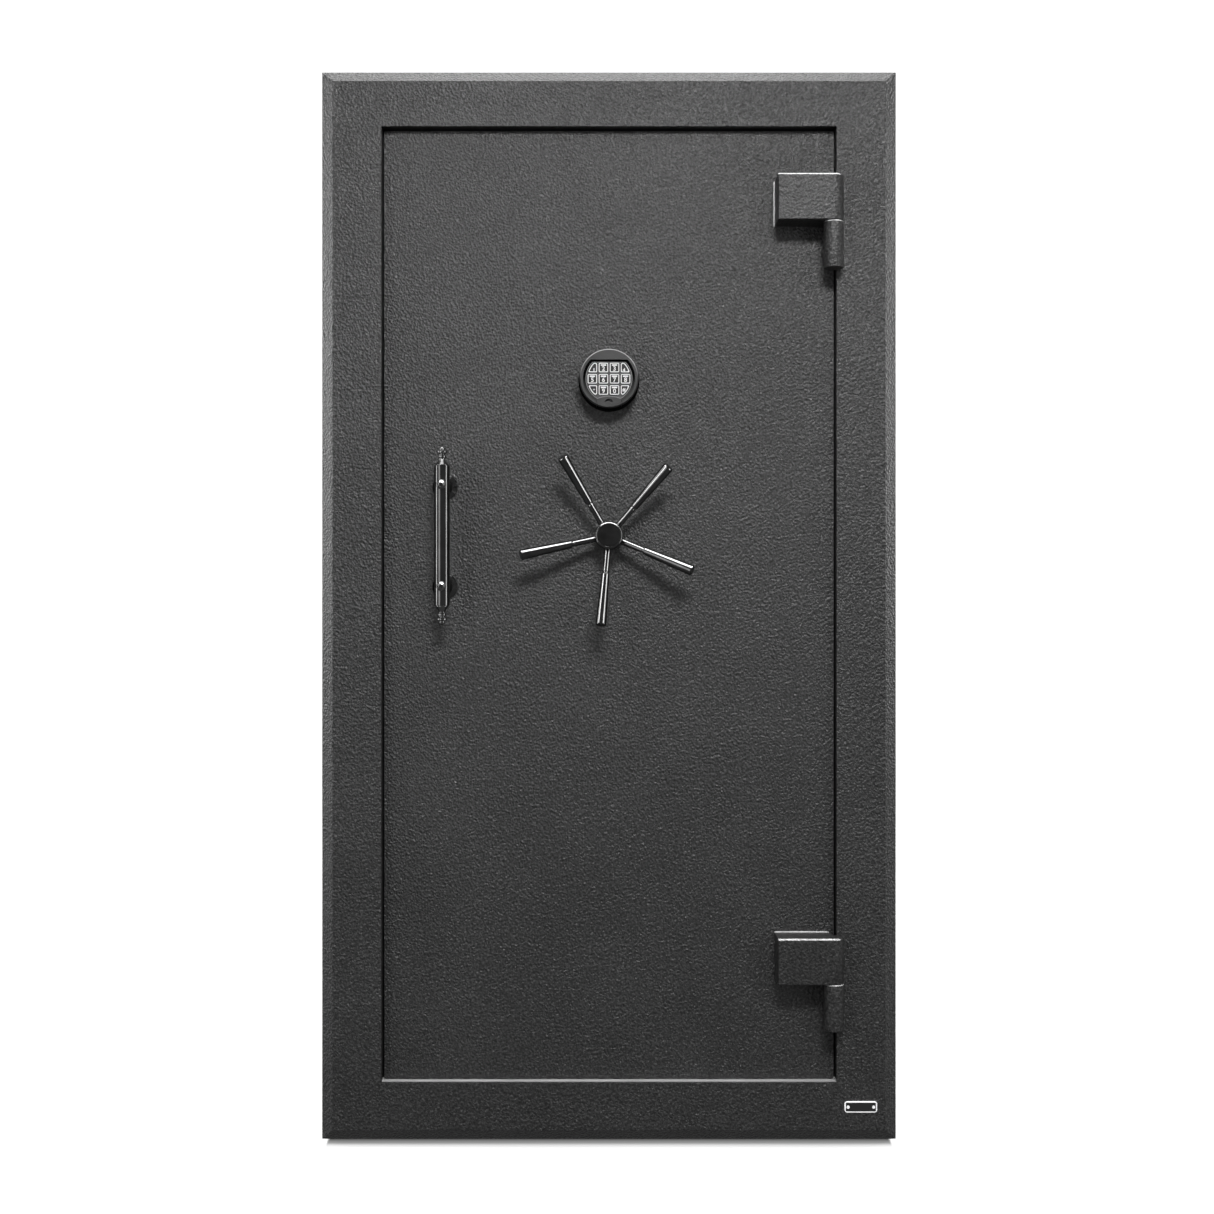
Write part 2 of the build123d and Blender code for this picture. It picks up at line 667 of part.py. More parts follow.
with BuildPart() as right_bolt_bar:
    block(217, 225, BAR_Y0, BAR_Y1, BAR_Z0, BAR_Z1)
    prism(front(ARM_A_Y1), [(-u, AXIS_Z - v) for u, v in rack_points(217, REACH)], 10)
    rod(Plane.YZ.offset(217), SPIGOT_R, 8, WALL_BOLTS, Mode.SUBTRACT)
finish(right_bolt_bar, "right_bolt_bar")

with BuildPart() as top_bolt_bar:
    block(-170, 170, BAR_Y0, BAR_Y1, 1340, 1348)
    prism(front(ARM_B_Y1), [(v, AXIS_Z - u) for u, v in rack_points(1340 - AXIS_Z, REACH)], 10)
    # Lug that the lock bolt stops when the bolts are thrown.
    block(26, 40, ARM_B_Y1, -208, 1071, 1090)
    rod(Plane.XY.offset(1340), SPIGOT_R, 8, END_BOLTS, Mode.SUBTRACT)
finish(top_bolt_bar, "top_bolt_bar")

with BuildPart() as bottom_bolt_bar:
    block(-170, 170, BAR_Y0, BAR_Y1, 179, 187)
    prism(front(ARM_B_Y1), [(-v, AXIS_Z + u) for u, v in rack_points(AXIS_Z - 187, REACH)], 10)
    rod(Plane.XY.offset(179), SPIGOT_R, 8, END_BOLTS, Mode.SUBTRACT)
finish(bottom_bolt_bar, "bottom_bolt_bar")

with BuildPart() as left_bolts:
    rod(Plane.YZ.offset(-288), BOLT_R, 73, WALL_BOLTS)
    chamfer(left_bolts.edges().filter_by(GeomType.CIRCLE).group_by(Axis.X)[0], 1.6)
    rod(Plane.YZ.offset(-215), SPIGOT_R, 10, WALL_BOLTS)
finish(left_bolts, "left_bolts")

with BuildPart() as right_bolts:
    rod(Plane.YZ.offset(225), BOLT_R, 73, WALL_BOLTS)
    chamfer(right_bolts.edges().filter_by(GeomType.CIRCLE).group_by(Axis.X)[-1], 1.6)
    rod(Plane.YZ.offset(215), SPIGOT_R, 10, WALL_BOLTS)
finish(right_bolts, "right_bolts")

with BuildPart() as top_bolts:
    rod(Plane.XY.offset(1348), BOLT_R, 69, END_BOLTS)
    chamfer(top_bolts.edges().filter_by(GeomType.CIRCLE).group_by(Axis.Z)[-1], 1.6)
    rod(Plane.XY.offset(1338), SPIGOT_R, 10, END_BOLTS)
finish(top_bolts, "top_bolts")

with BuildPart() as bottom_bolts:
    rod(Plane.XY.offset(110), BOLT_R, 69, END_BOLTS)
    chamfer(bottom_bolts.edges().filter_by(GeomType.CIRCLE).group_by(Axis.Z)[0], 1.6)
    rod(Plane.XY.offset(179), SPIGOT_R, 10, END_BOLTS)
finish(bottom_bolts, "bottom_bolts")

# Guide bridges hold each rack arm down on the boltwork plate.
with BuildPart() as rack_guides:
    block(-120, -100, WORK_Y1, -236, AXIS_Z + 16, AXIS_Z + 47)
    block(-120, -100, WORK_Y1, -241.7, AXIS_Z + 22.2, AXIS_Z + 40.3, Mode.SUBTRACT)
    block(100, 120, WORK_Y1, -236, AXIS_Z - 47, AXIS_Z - 16)
    block(100, 120, WORK_Y1, -241.7, AXIS_Z - 40.3, AXIS_Z - 22.2, Mode.SUBTRACT)
    block(16, 46, WORK_Y1, -222, 1200, 1220)
    block(22.2, 40.3, -238.3, -227.7, 1200, 1220, Mode.SUBTRACT)
    block(-46, -16, WORK_Y1, -222, 500, 520)
    block(-40.3, -22.2, -238.3, -227.7, 500, 520, Mode.SUBTRACT)
finish(rack_guides, "rack_guides")

# ================================================================ electronic lock body
POSTS = [(x, z) for x in (-32.0, 16.0) for z in (1046.0, 1119.0)]
with BuildPart() as lock_case:
    block(-38, 22, -222, -200, 1040, 1125)
    fillet(lock_case.edges().filter_by(Axis.Y), 4)
    block(-35, 19, -219, -200, 1043, 1122, Mode.SUBTRACT)
    rod(front(-222), 4.0, 33, POSTS)
    block(18, 23, -218.3, -209.7, 1091.7, 1108.3, Mode.SUBTRACT)
finish(lock_case, "lock_case")

with BuildPart() as lock_cover:
    block(-38, 22, -200, -198, 1040, 1125)
    fillet(lock_cover.edges().filter_by(Axis.Y), 4)
finish(lock_cover, "lock_cover")

with BuildPart() as lock_bolt:
    block(-20, 23, -218, -210, 1092, 1108)
    fillet(lock_bolt.edges().filter_by(Axis.Y).group_by(Axis.X)[-1], 1.5)
finish(lock_bolt, "lock_bolt")

with BuildPart() as keypad_cable:
    rod(front(-222), 2.0, 68, ((0, PAD_Z),))
finish(keypad_cable, "keypad_cable")

# ================================================================ keypad
PAD_PLANE = Plane(origin=(0, 0, PAD_Z), x_dir=(1, 0, 0), z_dir=(0, 0, 1))
PAD_AXIS = Axis((0, 0, PAD_Z), (0, 1, 0))
PAD_PROFILE = [
    (0, PLATE_Y0),
    (PAD_R, PLATE_Y0),
    (PAD_R, -291.0),
    (PAD_FACE_R + 0.5, -319.6),
    (PAD_FACE_R, -321.2),
    (PAD_FACE_R - 0.9, PAD_Y0),
    (0, PAD_Y0),
]
RECESS_R = 36.8
RECESS_TOP = 26.3
PANEL_Y = PAD_Y0 + 4.0
DRAWER_X = 17.4
DRAWER_TOP = 14.2
LIP_ARC_R = 46.0
LIP_TOP = -26.7
LIP_C = (0, PAD_Z + LIP_TOP - LIP_ARC_R)


def key_face(col, row, plane, grow):
    """A rounded square key, cut by the circle of the key field."""
    with BuildSketch(plane) as face:
        with Locations((KEY_COLS[col], PAD_Z + KEY_ROWS[row])):
            RectangleRounded(KEY_SIDE + 2 * grow, KEY_SIDE + 2 * grow, 2.0 + grow)
        with Locations((0, PAD_Z)):
            Circle(KEY_CLIP_R + grow, mode=Mode.INTERSECT)
    return face.sketch


with BuildPart() as keypad_housing:
    turned(PAD_PLANE, PAD_PROFILE, PAD_AXIS)
    with BuildSketch(front(PAD_Y0)) as recess:
        with Locations((0, PAD_Z)):
            Circle(RECESS_R)
        with Locations((0, PAD_Z + RECESS_TOP + 25)):
            Rectangle(100, 50, mode=Mode.SUBTRACT)
        with Locations(LIP_C):
            Circle(LIP_ARC_R, mode=Mode.SUBTRACT)
    extrude(recess.sketch, amount=-4, mode=Mode.SUBTRACT)
    for row in range(3):
        for col in range(4):
            extrude(key_face(col, row, front(PANEL_Y), KEY_GAP), amount=-3, mode=Mode.SUBTRACT)
    # The battery drawer's slot, open at the bottom of the housing.
    with BuildSketch(front(PAD_Y0 - 1)) as lip_slot:
        with Locations((0, PAD_Z - 40)):
            Rectangle(2 * DRAWER_X + 0.6, 60)
        with Locations(LIP_C):
            Circle(LIP_ARC_R + 0.3, mode=Mode.INTERSECT)
    extrude(lip_slot.sketch, amount=-10, mode=Mode.SUBTRACT)
    block(-DRAWER_X - 0.3, DRAWER_X + 0.3, -313.0, -290.5, PAD_Z - 45, PAD_Z + DRAWER_TOP + 0.3, Mode.SUBTRACT)
    rod(front(PLATE_Y0), 2.2, 4, ((0, PAD_Z),), Mode.SUBTRACT)
finish(keypad_housing, "keypad_housing")

# The drawer is a tray for one block battery, with a lip that completes the housing's face.
with BuildPart() as battery_drawer:
    turned(PAD_PLANE, PAD_PROFILE, PAD_AXIS)
    block(-DRAWER_X, DRAWER_X, -330, -290.8, PAD_Z - 45, PAD_Z + DRAWER_TOP, Mode.INTERSECT)
    with BuildSketch(front(PAD_Y0 - 1)) as over_lip:
        with Locations((0, PAD_Z + 20)):
            Rectangle(60, 120)
        with Locations(LIP_C):
            Circle(LIP_ARC_R, mode=Mode.SUBTRACT)
    extrude(over_lip.sketch, amount=-10.3, mode=Mode.SUBTRACT)
    # Room for the battery, open at the top and the back.
    block(-13.4, 13.4, -310.8, -290.8, PAD_Z - 34.6, PAD_Z + DRAWER_TOP, Mode.SUBTRACT)
    # Thumb notch in the lip.
    with BuildSketch(front(PAD_Y0 - 1)) as notch:
        with Locations((0, PAD_Z - 33.6)):
            Ellipse(5.6, 4.6)
        with Locations((0, PAD_Z - 33.6 - 5)):
            Rectangle(20, 10, mode=Mode.SUBTRACT)
    extrude(notch.sketch, amount=-5, mode=Mode.SUBTRACT)
finish(battery_drawer, "battery_drawer")

with BuildPart() as battery:
    block(-13.2, 13.2, -310.6, -293.2, PAD_Z - 34.4, PAD_Z + 11.0)
    fillet(battery.edges().filter_by(Axis.Z), 2)
    rod(Plane.XY.offset(PAD_Z + 11.0), 3.6, 2.6, ((-6.35, -302.0),))
    rod(Plane.XY.offset(PAD_Z + 11.0), 2.8, 2.6, ((6.35, -302.0),))
finish(battery, "battery")

KEY_NAMES = (
    ("key_1", "key_2", "key_3", "key_4"),
    ("key_5", "key_6", "key_7", "key_8"),
    ("key_star", "key_9", "key_0", "key_hash"),
)
KEY_Y0, KEY_Y1 = PANEL_Y - 0.9, PANEL_Y + 1.5
for row in range(3):
    for col in range(4):
        with BuildPart() as key:
            extrude(key_face(col, row, front(KEY_Y1), 0), amount=KEY_Y1 - KEY_Y0)
        finish(key, KEY_NAMES[row][col])

# ================================================================ pull handle
PULL_PLANE = Plane(origin=(PULL_X, PULL_Y, 0), x_dir=(1, 0, 0), z_dir=(0, -1, 0))
PULL_AXIS = Axis((PULL_X, PULL_Y, 0), (0, 0, 1))
PULL_Z0 = PULL_Z - PULL_LEN / 2
PULL_Z1 = PULL_Z + PULL_LEN / 2
with BuildPart() as pull_bar:
    rod(Plane.XY.offset(PULL_Z0), PULL_R, PULL_LEN, ((PULL_X, PULL_Y),))
    chamfer(pull_bar.edges().filter_by(GeomType.CIRCLE), 0.6)
    rod(front(PULL_Y + 12), 3.0, 24, PULL_SPOTS, Mode.SUBTRACT)
finish(pull_bar, "pull_bar")

FINIAL = [
    (0, 0),
    (8.9, 0),
    (8.9, 0.8),
    (5.4, 6.2),
    (4.4, 8.4),
    (4.4, 9.6),
    (5.8, 10.8),
    (5.8, 13.4),
    (4.3, 14.8),
    (4.3, 16.0),
    (7.4, 17.6),
    (7.4, 19.6),
    (4.4, 21.0),
    (3.9, 23.4),
    (2.9, 25.5),
    (1.4, 26.5),
    (0, 26.6),
]
with BuildPart() as pull_finials:
    turned(PULL_PLANE, [(r, PULL_Z1 + h) for r, h in FINIAL], PULL_AXIS)
    turned(PULL_PLANE, [(r, PULL_Z0 - h) for r, h in FINIAL], PULL_AXIS)
finish(pull_finials, "pull_finials")

with BuildPart() as pull_standoffs:
    for x, z in PULL_SPOTS:
        turned(
            Plane(origin=(x, 0, z), x_dir=(1, 0, 0), z_dir=(0, 0, 1)),
            [
                (3.0, PLATE_Y0),
                (18.0, PLATE_Y0),
                (18.0, PLATE_Y0 - 2.0),
                (15.0, PLATE_Y0 - 4.5),
                (11.0, PLATE_Y0 - 8.0),
                (8.6, PLATE_Y0 - 13.0),
                (7.6, PLATE_Y0 - 19.0),
                (7.4, PULL_Y + 1.0),
                (3.0, PULL_Y + 1.0),
            ],
            Axis((x, 0, z), (0, 1, 0)),
        )
    rod(Plane.XY.offset(PULL_Z0), PULL_R, PULL_LEN, ((PULL_X, PULL_Y),), Mode.SUBTRACT)
finish(pull_standoffs, "pull_standoffs")

with BuildPart() as pull_screws:
    for x, z in PULL_SPOTS:
        turned(
            Plane(origin=(x, 0, z), x_dir=(1, 0, 0), z_dir=(0, 0, 1)),
            [
                (0, PLATE_Y1 - 2.0),
                (3.0, PLATE_Y1 - 2.0),
                (3.0, PULL_Y - PULL_R - 0.2),
                (6.3, PULL_Y - PULL_R - 0.2),
                (6.3, PULL_Y - PULL_R - 1.0),
                (5.6, PULL_Y - PULL_R - 2.2),
                (4.2, PULL_Y - PULL_R - 3.2),
                (2.2, PULL_Y - PULL_R - 3.8),
                (0, PULL_Y - PULL_R - 4.0),
            ],
            Axis((x, 0, z), (0, 1, 0)),
        )
finish(pull_screws, "pull_screws")
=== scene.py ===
import math
import random

import bmesh
import bpy
from mathutils import Matrix, Vector


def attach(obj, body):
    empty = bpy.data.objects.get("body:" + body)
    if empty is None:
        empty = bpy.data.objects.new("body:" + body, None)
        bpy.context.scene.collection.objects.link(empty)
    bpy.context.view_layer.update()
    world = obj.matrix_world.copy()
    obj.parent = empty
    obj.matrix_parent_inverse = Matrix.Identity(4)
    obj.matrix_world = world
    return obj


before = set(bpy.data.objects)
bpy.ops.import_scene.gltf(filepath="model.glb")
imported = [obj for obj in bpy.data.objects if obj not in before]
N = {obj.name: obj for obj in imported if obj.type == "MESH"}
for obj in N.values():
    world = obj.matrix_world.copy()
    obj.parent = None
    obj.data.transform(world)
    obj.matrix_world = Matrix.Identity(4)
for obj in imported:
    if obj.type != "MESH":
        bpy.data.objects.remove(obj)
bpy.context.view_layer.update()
scene = bpy.context.scene
MM = 0.001
HUB_Z = 0.8605
PAD_Z = 1.0822
PANEL_Y = -0.318
PULL_HALF = 0.071


# ------------------------------------------------------------------ node helpers
class Tree:
    """A material's node tree, with short calls for the nodes used here."""

    def __init__(self, name):
        self.m = bpy.data.materials.new(name)
        self.m.use_nodes = True
        self.t = self.m.node_tree
        self.t.nodes.clear()
        self.out = self.t.nodes.new("ShaderNodeOutputMaterial")
        self.b = self.t.nodes.new("ShaderNodeBsdfPrincipled")
        self.t.links.new(self.b.outputs[0], self.out.inputs[0])
        self.co = self.t.nodes.new("ShaderNodeTexCoord").outputs["Object"]

    def set(self, **values):
        for k, v in values.items():
            self.b.inputs[k.replace("_", " ")].default_value = v
        return self

    def link(self, a, b):
        self.t.links.new(a, b)

    def mapping(self, scale=(1, 1, 1), rot=(0, 0, 0)):
        n = self.t.nodes.new("ShaderNodeMapping")
        n.inputs["Scale"].default_value = scale
        n.inputs["Rotation"].default_value = rot
        self.link(self.co, n.inputs["Vector"])
        return n.outputs[0]

    def noise(self, scale, detail=2.0, rough=0.5, distortion=0.0, vec=None):
        n = self.t.nodes.new("ShaderNodeTexNoise")
        n.inputs["Scale"].default_value = scale
        n.inputs["Detail"].default_value = detail
        n.inputs["Roughness"].default_value = rough
        n.inputs["Distortion"].default_value = distortion
        self.link(vec or self.co, n.inputs["Vector"])
        return n.outputs[0]

    def voronoi(self, scale, feature="F1", smooth=0.5, vec=None, out="Distance"):
        n = self.t.nodes.new("ShaderNodeTexVoronoi")
        n.feature = feature
        n.inputs["Scale"].default_value = scale
        if feature == "SMOOTH_F1":
            n.inputs["Smoothness"].default_value = smooth
        self.link(vec or self.co, n.inputs["Vector"])
        return n.outputs[out]

    def wave(self, scale, distortion=0.0, direction="X", vec=None, detail=2.0):
        n = self.t.nodes.new("ShaderNodeTexWave")
        n.bands_direction = direction
        n.inputs["Scale"].default_value = scale
        n.inputs["Distortion"].default_value = distortion
        n.inputs["Detail"].default_value = detail
        self.link(vec or self.co, n.inputs["Vector"])
        return n.outputs["Fac"]

    def math(self, op, a, b=None, clamp=False):
        n = self.t.nodes.new("ShaderNodeMath")
        n.operation = op
        n.use_clamp = clamp
        for i, v in enumerate((a, b)):
            if v is None:
                continue
            if isinstance(v, (int, float)):
                n.inputs[i].default_value = v
            else:
                self.link(v, n.inputs[i])
        return n.outputs[0]

    def ramp(self, fac, stops, smooth=False):
        n = self.t.nodes.new("ShaderNodeValToRGB")
        n.color_ramp.interpolation = "EASE" if smooth else "LINEAR"
        e = n.color_ramp.elements
        while len(e) > len(stops):
            e.remove(e[-1])
        while len(e) < len(stops):
            e.new(0.5)
        for el, (p, c) in zip(e, stops):
            el.position = p
            el.color = (c, c, c, 1) if isinstance(c, (int, float)) else (*c, 1)
        self.link(fac, n.inputs[0])
        return n.outputs[0]

    def remap(self, fac, a, b, lo=0.0, hi=1.0):
        n = self.t.nodes.new("ShaderNodeMapRange")
        n.inputs["From Min"].default_value = lo
        n.inputs["From Max"].default_value = hi
        n.inputs["To Min"].default_value = a
        n.inputs["To Max"].default_value = b
        self.link(fac, n.inputs["Value"])
        return n.outputs[0]

    def bump(self, height, strength, distance, prev=None):
        n = self.t.nodes.new("ShaderNodeBump")
        n.inputs["Strength"].default_value = strength
        n.inputs["Distance"].default_value = distance
        self.link(height, n.inputs["Height"])
        if prev is not None:
            self.link(prev, n.inputs["Normal"])
        return n.outputs[0]

    def color(self, c):
        self.link(c, self.b.inputs["Base Color"])
        return self

    def rough(self, r):
        self.link(r, self.b.inputs["Roughness"])
        return self

    def normal(self, n):
        self.link(n, self.b.inputs["Normal"])
        return self


def shade(v, tint=(1.0, 1.0, 1.0)):
    return tuple(v * t for t in tint)


# ------------------------------------------------------------------ materials
def textured_paint(name, low, high, rough_lo, rough_hi, strength=1.0, spec=0.5, highlight_rims=()):
    """Pebbled powder coat: shallow merged pebbles, fine grit, and a light mottle."""
    t = Tree(name)
    pebbles = t.voronoi(312, "SMOOTH_F1", 0.5, vec=t.mapping((1.0, 1.0, 0.9), (0, 0.5, 0)))
    lumps = t.noise(238, 3.0, 0.66, 0.4)
    grit = t.noise(760, 2.0, 0.6)
    height = t.math("ADD", t.math("MULTIPLY", pebbles, 0.9), t.math("MULTIPLY", lumps, 1.0))
    height = t.math("ADD", height, t.math("MULTIPLY", grit, 0.3))
    cloud = t.noise(7.0, 3.0, 0.55)
    grains = t.noise(275, 2.0, 0.62, 0.2)
    spots = t.math("ADD", t.math("MULTIPLY", t.math("SUBTRACT", grains, 0.5), 1.9), t.math("ADD", t.math("MULTIPLY", cloud, 0.35), 0.33))
    paint = t.ramp(spots, [(0.26, low), (0.56, 0.5 * (low + high) * 0.86), (0.84, high), (1.0, high * 1.7)])
    rough = t.remap(lumps, rough_lo, rough_hi, 0.3, 0.7)
    t.set(Specular_IOR_Level=spec)
    if not highlight_rims:
        t.color(paint)
        t.rough(rough)
        t.normal(t.bump(height, strength, 0.00135))
        return t.m
    # A painted highlight along an upper edge: a thin band below each listed height, on the front half of the part,
    # with a ragged lower limit, gets a bright colour in place of the light the rounded edge catches, and a smoother
    # finish.
    sep = t.t.nodes.new("ShaderNodeSeparateXYZ")
    t.link(t.co, sep.inputs[0])
    ragged = t.math("MULTIPLY", t.math("SUBTRACT", t.noise(330, 3.0, 0.6), 0.5), 0.0016)
    highlight_mask = None
    for z_top, depth, y_max in highlight_rims:
        d = t.math("ADD", t.math("SUBTRACT", z_top, sep.outputs[2]), ragged)
        m = t.remap(t.math("ABSOLUTE", t.math("SUBTRACT", d, depth * 0.5)), 1.0, 0.0, depth * 0.42, depth * 0.62)
        m = t.math("MULTIPLY", m, t.remap(sep.outputs[1], 1.0, 0.0, y_max, y_max + 0.0008))
        highlight_mask = m if highlight_mask is None else t.math("MAXIMUM", highlight_mask, m)
    mix = t.t.nodes.new("ShaderNodeMix")
    mix.data_type = "RGBA"
    t.link(highlight_mask, mix.inputs["Factor"])
    t.link(paint, mix.inputs[6])
    t.link(t.ramp(spots, [(0.2, 0.38), (0.8, 0.82)]), mix.inputs[7])
    t.color(mix.outputs[2])
    t.rough(t.math("SUBTRACT", rough, t.math("MULTIPLY", highlight_mask, 0.16)))
    t.normal(t.bump(height, strength, 0.0012))
    return t.m


def satin_paint(name, low, high, rough=(0.35, 0.5)):
    """Smooth shop primer or satin paint, with faint orange peel and scuffs."""
    t = Tree(name)
    peel = t.noise(420, 2.0, 0.5)
    scuff = t.noise(22, 4.0, 0.65, 0.6)
    t.normal(t.bump(peel, 0.12, 0.0004))
    t.color(t.ramp(scuff, [(0.3, low), (0.7, high)]))
    t.rough(t.remap(scuff, rough[0], rough[1], 0.3, 0.7))
    return t.m


def jamb_paint():
    """Dark satin jamb, kept near black as painted shade in the door gap. The sill, which the door's edge passes over,
    is bright: a painted highlight, brighter towards the front.
    """
    t = Tree("jamb_shade_and_sill_highlight")
    sep = t.t.nodes.new("ShaderNodeSeparateXYZ")
    t.link(t.co, sep.inputs[0])
    scuff = t.noise(22, 4.0, 0.65, 0.6)
    sill = t.remap(sep.outputs[2], 1.0, 0.0, 0.0858, 0.0866)
    mix = t.t.nodes.new("ShaderNodeMix")
    mix.data_type = "RGBA"
    t.link(sill, mix.inputs["Factor"])
    # Painted shade: the jamb is kept near black so the door gap stays dark.
    t.link(t.ramp(scuff, [(0.3, 0.005), (0.7, 0.012)]), mix.inputs[6])
    # Painted highlight on the sill, brighter towards the front.
    sill_painted_light = t.math("MULTIPLY", t.remap(scuff, 0.85, 1.05, 0.3, 0.7), t.remap(sep.outputs[1], 0.10, 0.74, -0.3045, -0.2940))
    t.link(sill_painted_light, mix.inputs[7])
    t.color(mix.outputs[2])
    t.rough(t.remap(scuff, 0.35, 0.5, 0.3, 0.7))
    t.normal(t.bump(t.noise(420, 2.0, 0.5), 0.12, 0.0004))
    return t.m


def metal(name, low, high, rough=(0.12, 0.22), stretch=(1, 1, 1), grain=900, strength=0.05, coat=0.0):
    """Metal with fine machining marks, handling haze and slightly uneven plating."""
    t = Tree(name)
    marks = t.noise(grain, 2.0, 0.55, vec=t.mapping(stretch))
    haze = t.noise(38, 3.0, 0.6, 0.4)
    t.normal(t.bump(marks, strength, 0.0003))
    t.color(t.ramp(haze, [(0.3, low), (0.7, high)]))
    t.rough(t.remap(t.math("ADD", t.math("MULTIPLY", haze, 0.7), t.math("MULTIPLY", marks, 0.3)), rough[0], rough[1], 0.3, 0.7))
    t.set(Metallic=1.0, Coat_Weight=coat)
    return t.m


def plastic(name, low, high, rough=(0.3, 0.45), grain=1500, strength=0.15):
    """Moulded plastic with a fine spark-eroded grain."""
    t = Tree(name)
    fine = t.noise(grain, 2.0, 0.6)
    wide = t.noise(60, 3.0, 0.55)
    t.normal(t.bump(fine, strength, 0.0002))
    t.color(t.ramp(wide, [(0.3, low), (0.7, high)]))
    t.rough(t.remap(wide, rough[0], rough[1], 0.3, 0.7))
    return t.m


def carpet(name, low, high):
    """Short cut pile: fibre tufts with a soft sheen."""
    t = Tree(name)
    tufts = t.voronoi(520, "F1")
    fibre = t.noise(1300, 3.0, 0.7)
    lay = t.noise(14, 3.0, 0.6, 0.5)
    height = t.math("ADD", t.math("MULTIPLY", tufts, 0.8), t.math("MULTIPLY", fibre, 0.6))
    t.normal(t.bump(height, 0.9, 0.0016))
    mix = t.math("ADD", t.math("MULTIPLY", fibre, 0.6), t.math("MULTIPLY", lay, 0.5))
    t.color(t.ramp(mix, [(0.36, low), (0.74, high)]))
    t.rough(t.remap(lay, 0.88, 0.99, 0.3, 0.7))
    t.set(Sheen_Weight=0.35, Sheen_Roughness=0.5, Specular_IOR_Level=0.2)
    return t.m


def gypsum(name):
    """Fire board: chalky grey-white paper face with pits and stains."""
    t = Tree(name)
    pits = t.voronoi(260, "F1")
    fibre = t.noise(900, 3.0, 0.65)
    stain = t.noise(6, 4.0, 0.6, 0.8)
    t.normal(t.bump(t.math("ADD", pits, t.math("MULTIPLY", fibre, 0.5)), 0.35, 0.0008))
    t.color(t.ramp(stain, [(0.3, (0.58, 0.56, 0.52)), (0.7, (0.72, 0.70, 0.66))]))
    t.rough(t.remap(fibre, 0.78, 0.95, 0.3, 0.7))
    return t.m


def rubber(name, low=0.012, high=0.024, spec=0.5):
    t = Tree(name)
    t.set(Specular_IOR_Level=spec)
    skin = t.noise(800, 2.0, 0.55)
    bloom = t.noise(40, 3.0, 0.6)
    t.normal(t.bump(skin, 0.2, 0.0003))
    t.color(t.ramp(bloom, [(0.3, low), (0.7, high)]))
    t.rough(t.remap(bloom, 0.5, 0.72, 0.3, 0.7))
    return t.m


def silver_print():
    """Silver paint and satin aluminium: partly metallic, with a fine brushed grain."""
    t = Tree("silver_satin")
    grain = t.noise(1600, 2.0, 0.55, vec=t.mapping((1, 1, 6)))
    tone = t.noise(90, 3.0, 0.6)
    t.color(t.ramp(tone, [(0.3, (0.88, 0.88, 0.89)), (0.7, (0.97, 0.97, 0.97))]))
    t.rough(t.remap(grain, 0.26, 0.40, 0.3, 0.7))
    t.normal(t.bump(grain, 0.06, 0.0002))
    t.set(Metallic=0.25)
    return t.m


M_PAINT = textured_paint("paint_pebbled", 0.013, 0.058, 0.28, 0.41, strength=0.95)
# The hinge paints carry painted highlight bands along the top edges listed in highlight_rims.
M_BLOCK = textured_paint(
    "paint_pebbled_block", 0.009, 0.044, 0.36, 0.50, strength=0.75, highlight_rims=((1.3680, 0.0018, -0.3318), (0.2952, 0.0024, -0.3318))
)
M_BARREL = textured_paint(
    "paint_pebbled_barrel", 0.010, 0.058, 0.36, 0.50, strength=0.75, highlight_rims=((1.3030, 0.0016, -0.3220), (0.2302, 0.0016, -0.3220))
)
# Bright satin for the weld beads that stand in for a glint: a painted highlight.
M_BEAD_HIGHLIGHT = satin_paint("weld_bead_painted_highlight", 0.48, 0.72, (0.22, 0.32))
M_JAMB = jamb_paint()
M_WORK = satin_paint("paint_boltwork", 0.035, 0.055)
M_ZINC_PAINT = satin_paint("paint_lock_case", 0.30, 0.40)
M_BLACK_CHROME = metal("black_nickel", 0.075, 0.11, (0.09, 0.15), grain=1200, strength=0.02)
M_DOME = metal("screw_nickel", 0.12, 0.19, (0.18, 0.26), grain=1200, strength=0.03)
M_COLLAR = metal("collar_dark", 0.05, 0.08, (0.3, 0.42), grain=1500, strength=0.08)
M_CHROME = metal("bolt_chrome", (0.66, 0.67, 0.69), (0.78, 0.79, 0.80), (0.08, 0.16), grain=900)
M_PLATED = metal("zinc_plated", (0.42, 0.42, 0.39), (0.60, 0.60, 0.57), (0.28, 0.42), grain=700, strength=0.12)
M_GEAR = metal("cut_steel", (0.36, 0.36, 0.37), (0.50, 0.50, 0.51), (0.25, 0.36), (1, 8, 1), grain=600, strength=0.15)
M_BRONZE = metal("sintered_bronze", (0.36, 0.24, 0.11), (0.52, 0.37, 0.20), (0.38, 0.52), grain=1100, strength=0.2)
M_SILVER = silver_print()
M_RING = plastic("pad_ring", 0.20, 0.26, (0.40, 0.52), grain=1800, strength=0.1)
M_KEY = rubber("key_rubber", 0.010, 0.018)
M_SEAL = rubber("seal_rubber")
M_CABLE = rubber("cable_rubber", 0.015, 0.03)
M_CARPET = carpet("carpet_pile", 0.030, 0.085)
M_CARPET_LT = carpet("carpet_board_pile", 0.036, 0.098)
M_FIREBOARD = gypsum("gypsum_board")
M_BATTERY = metal("battery_jacket", (0.10, 0.10, 0.11), (0.16, 0.16, 0.18), (0.25, 0.35), grain=900, coat=0.4)


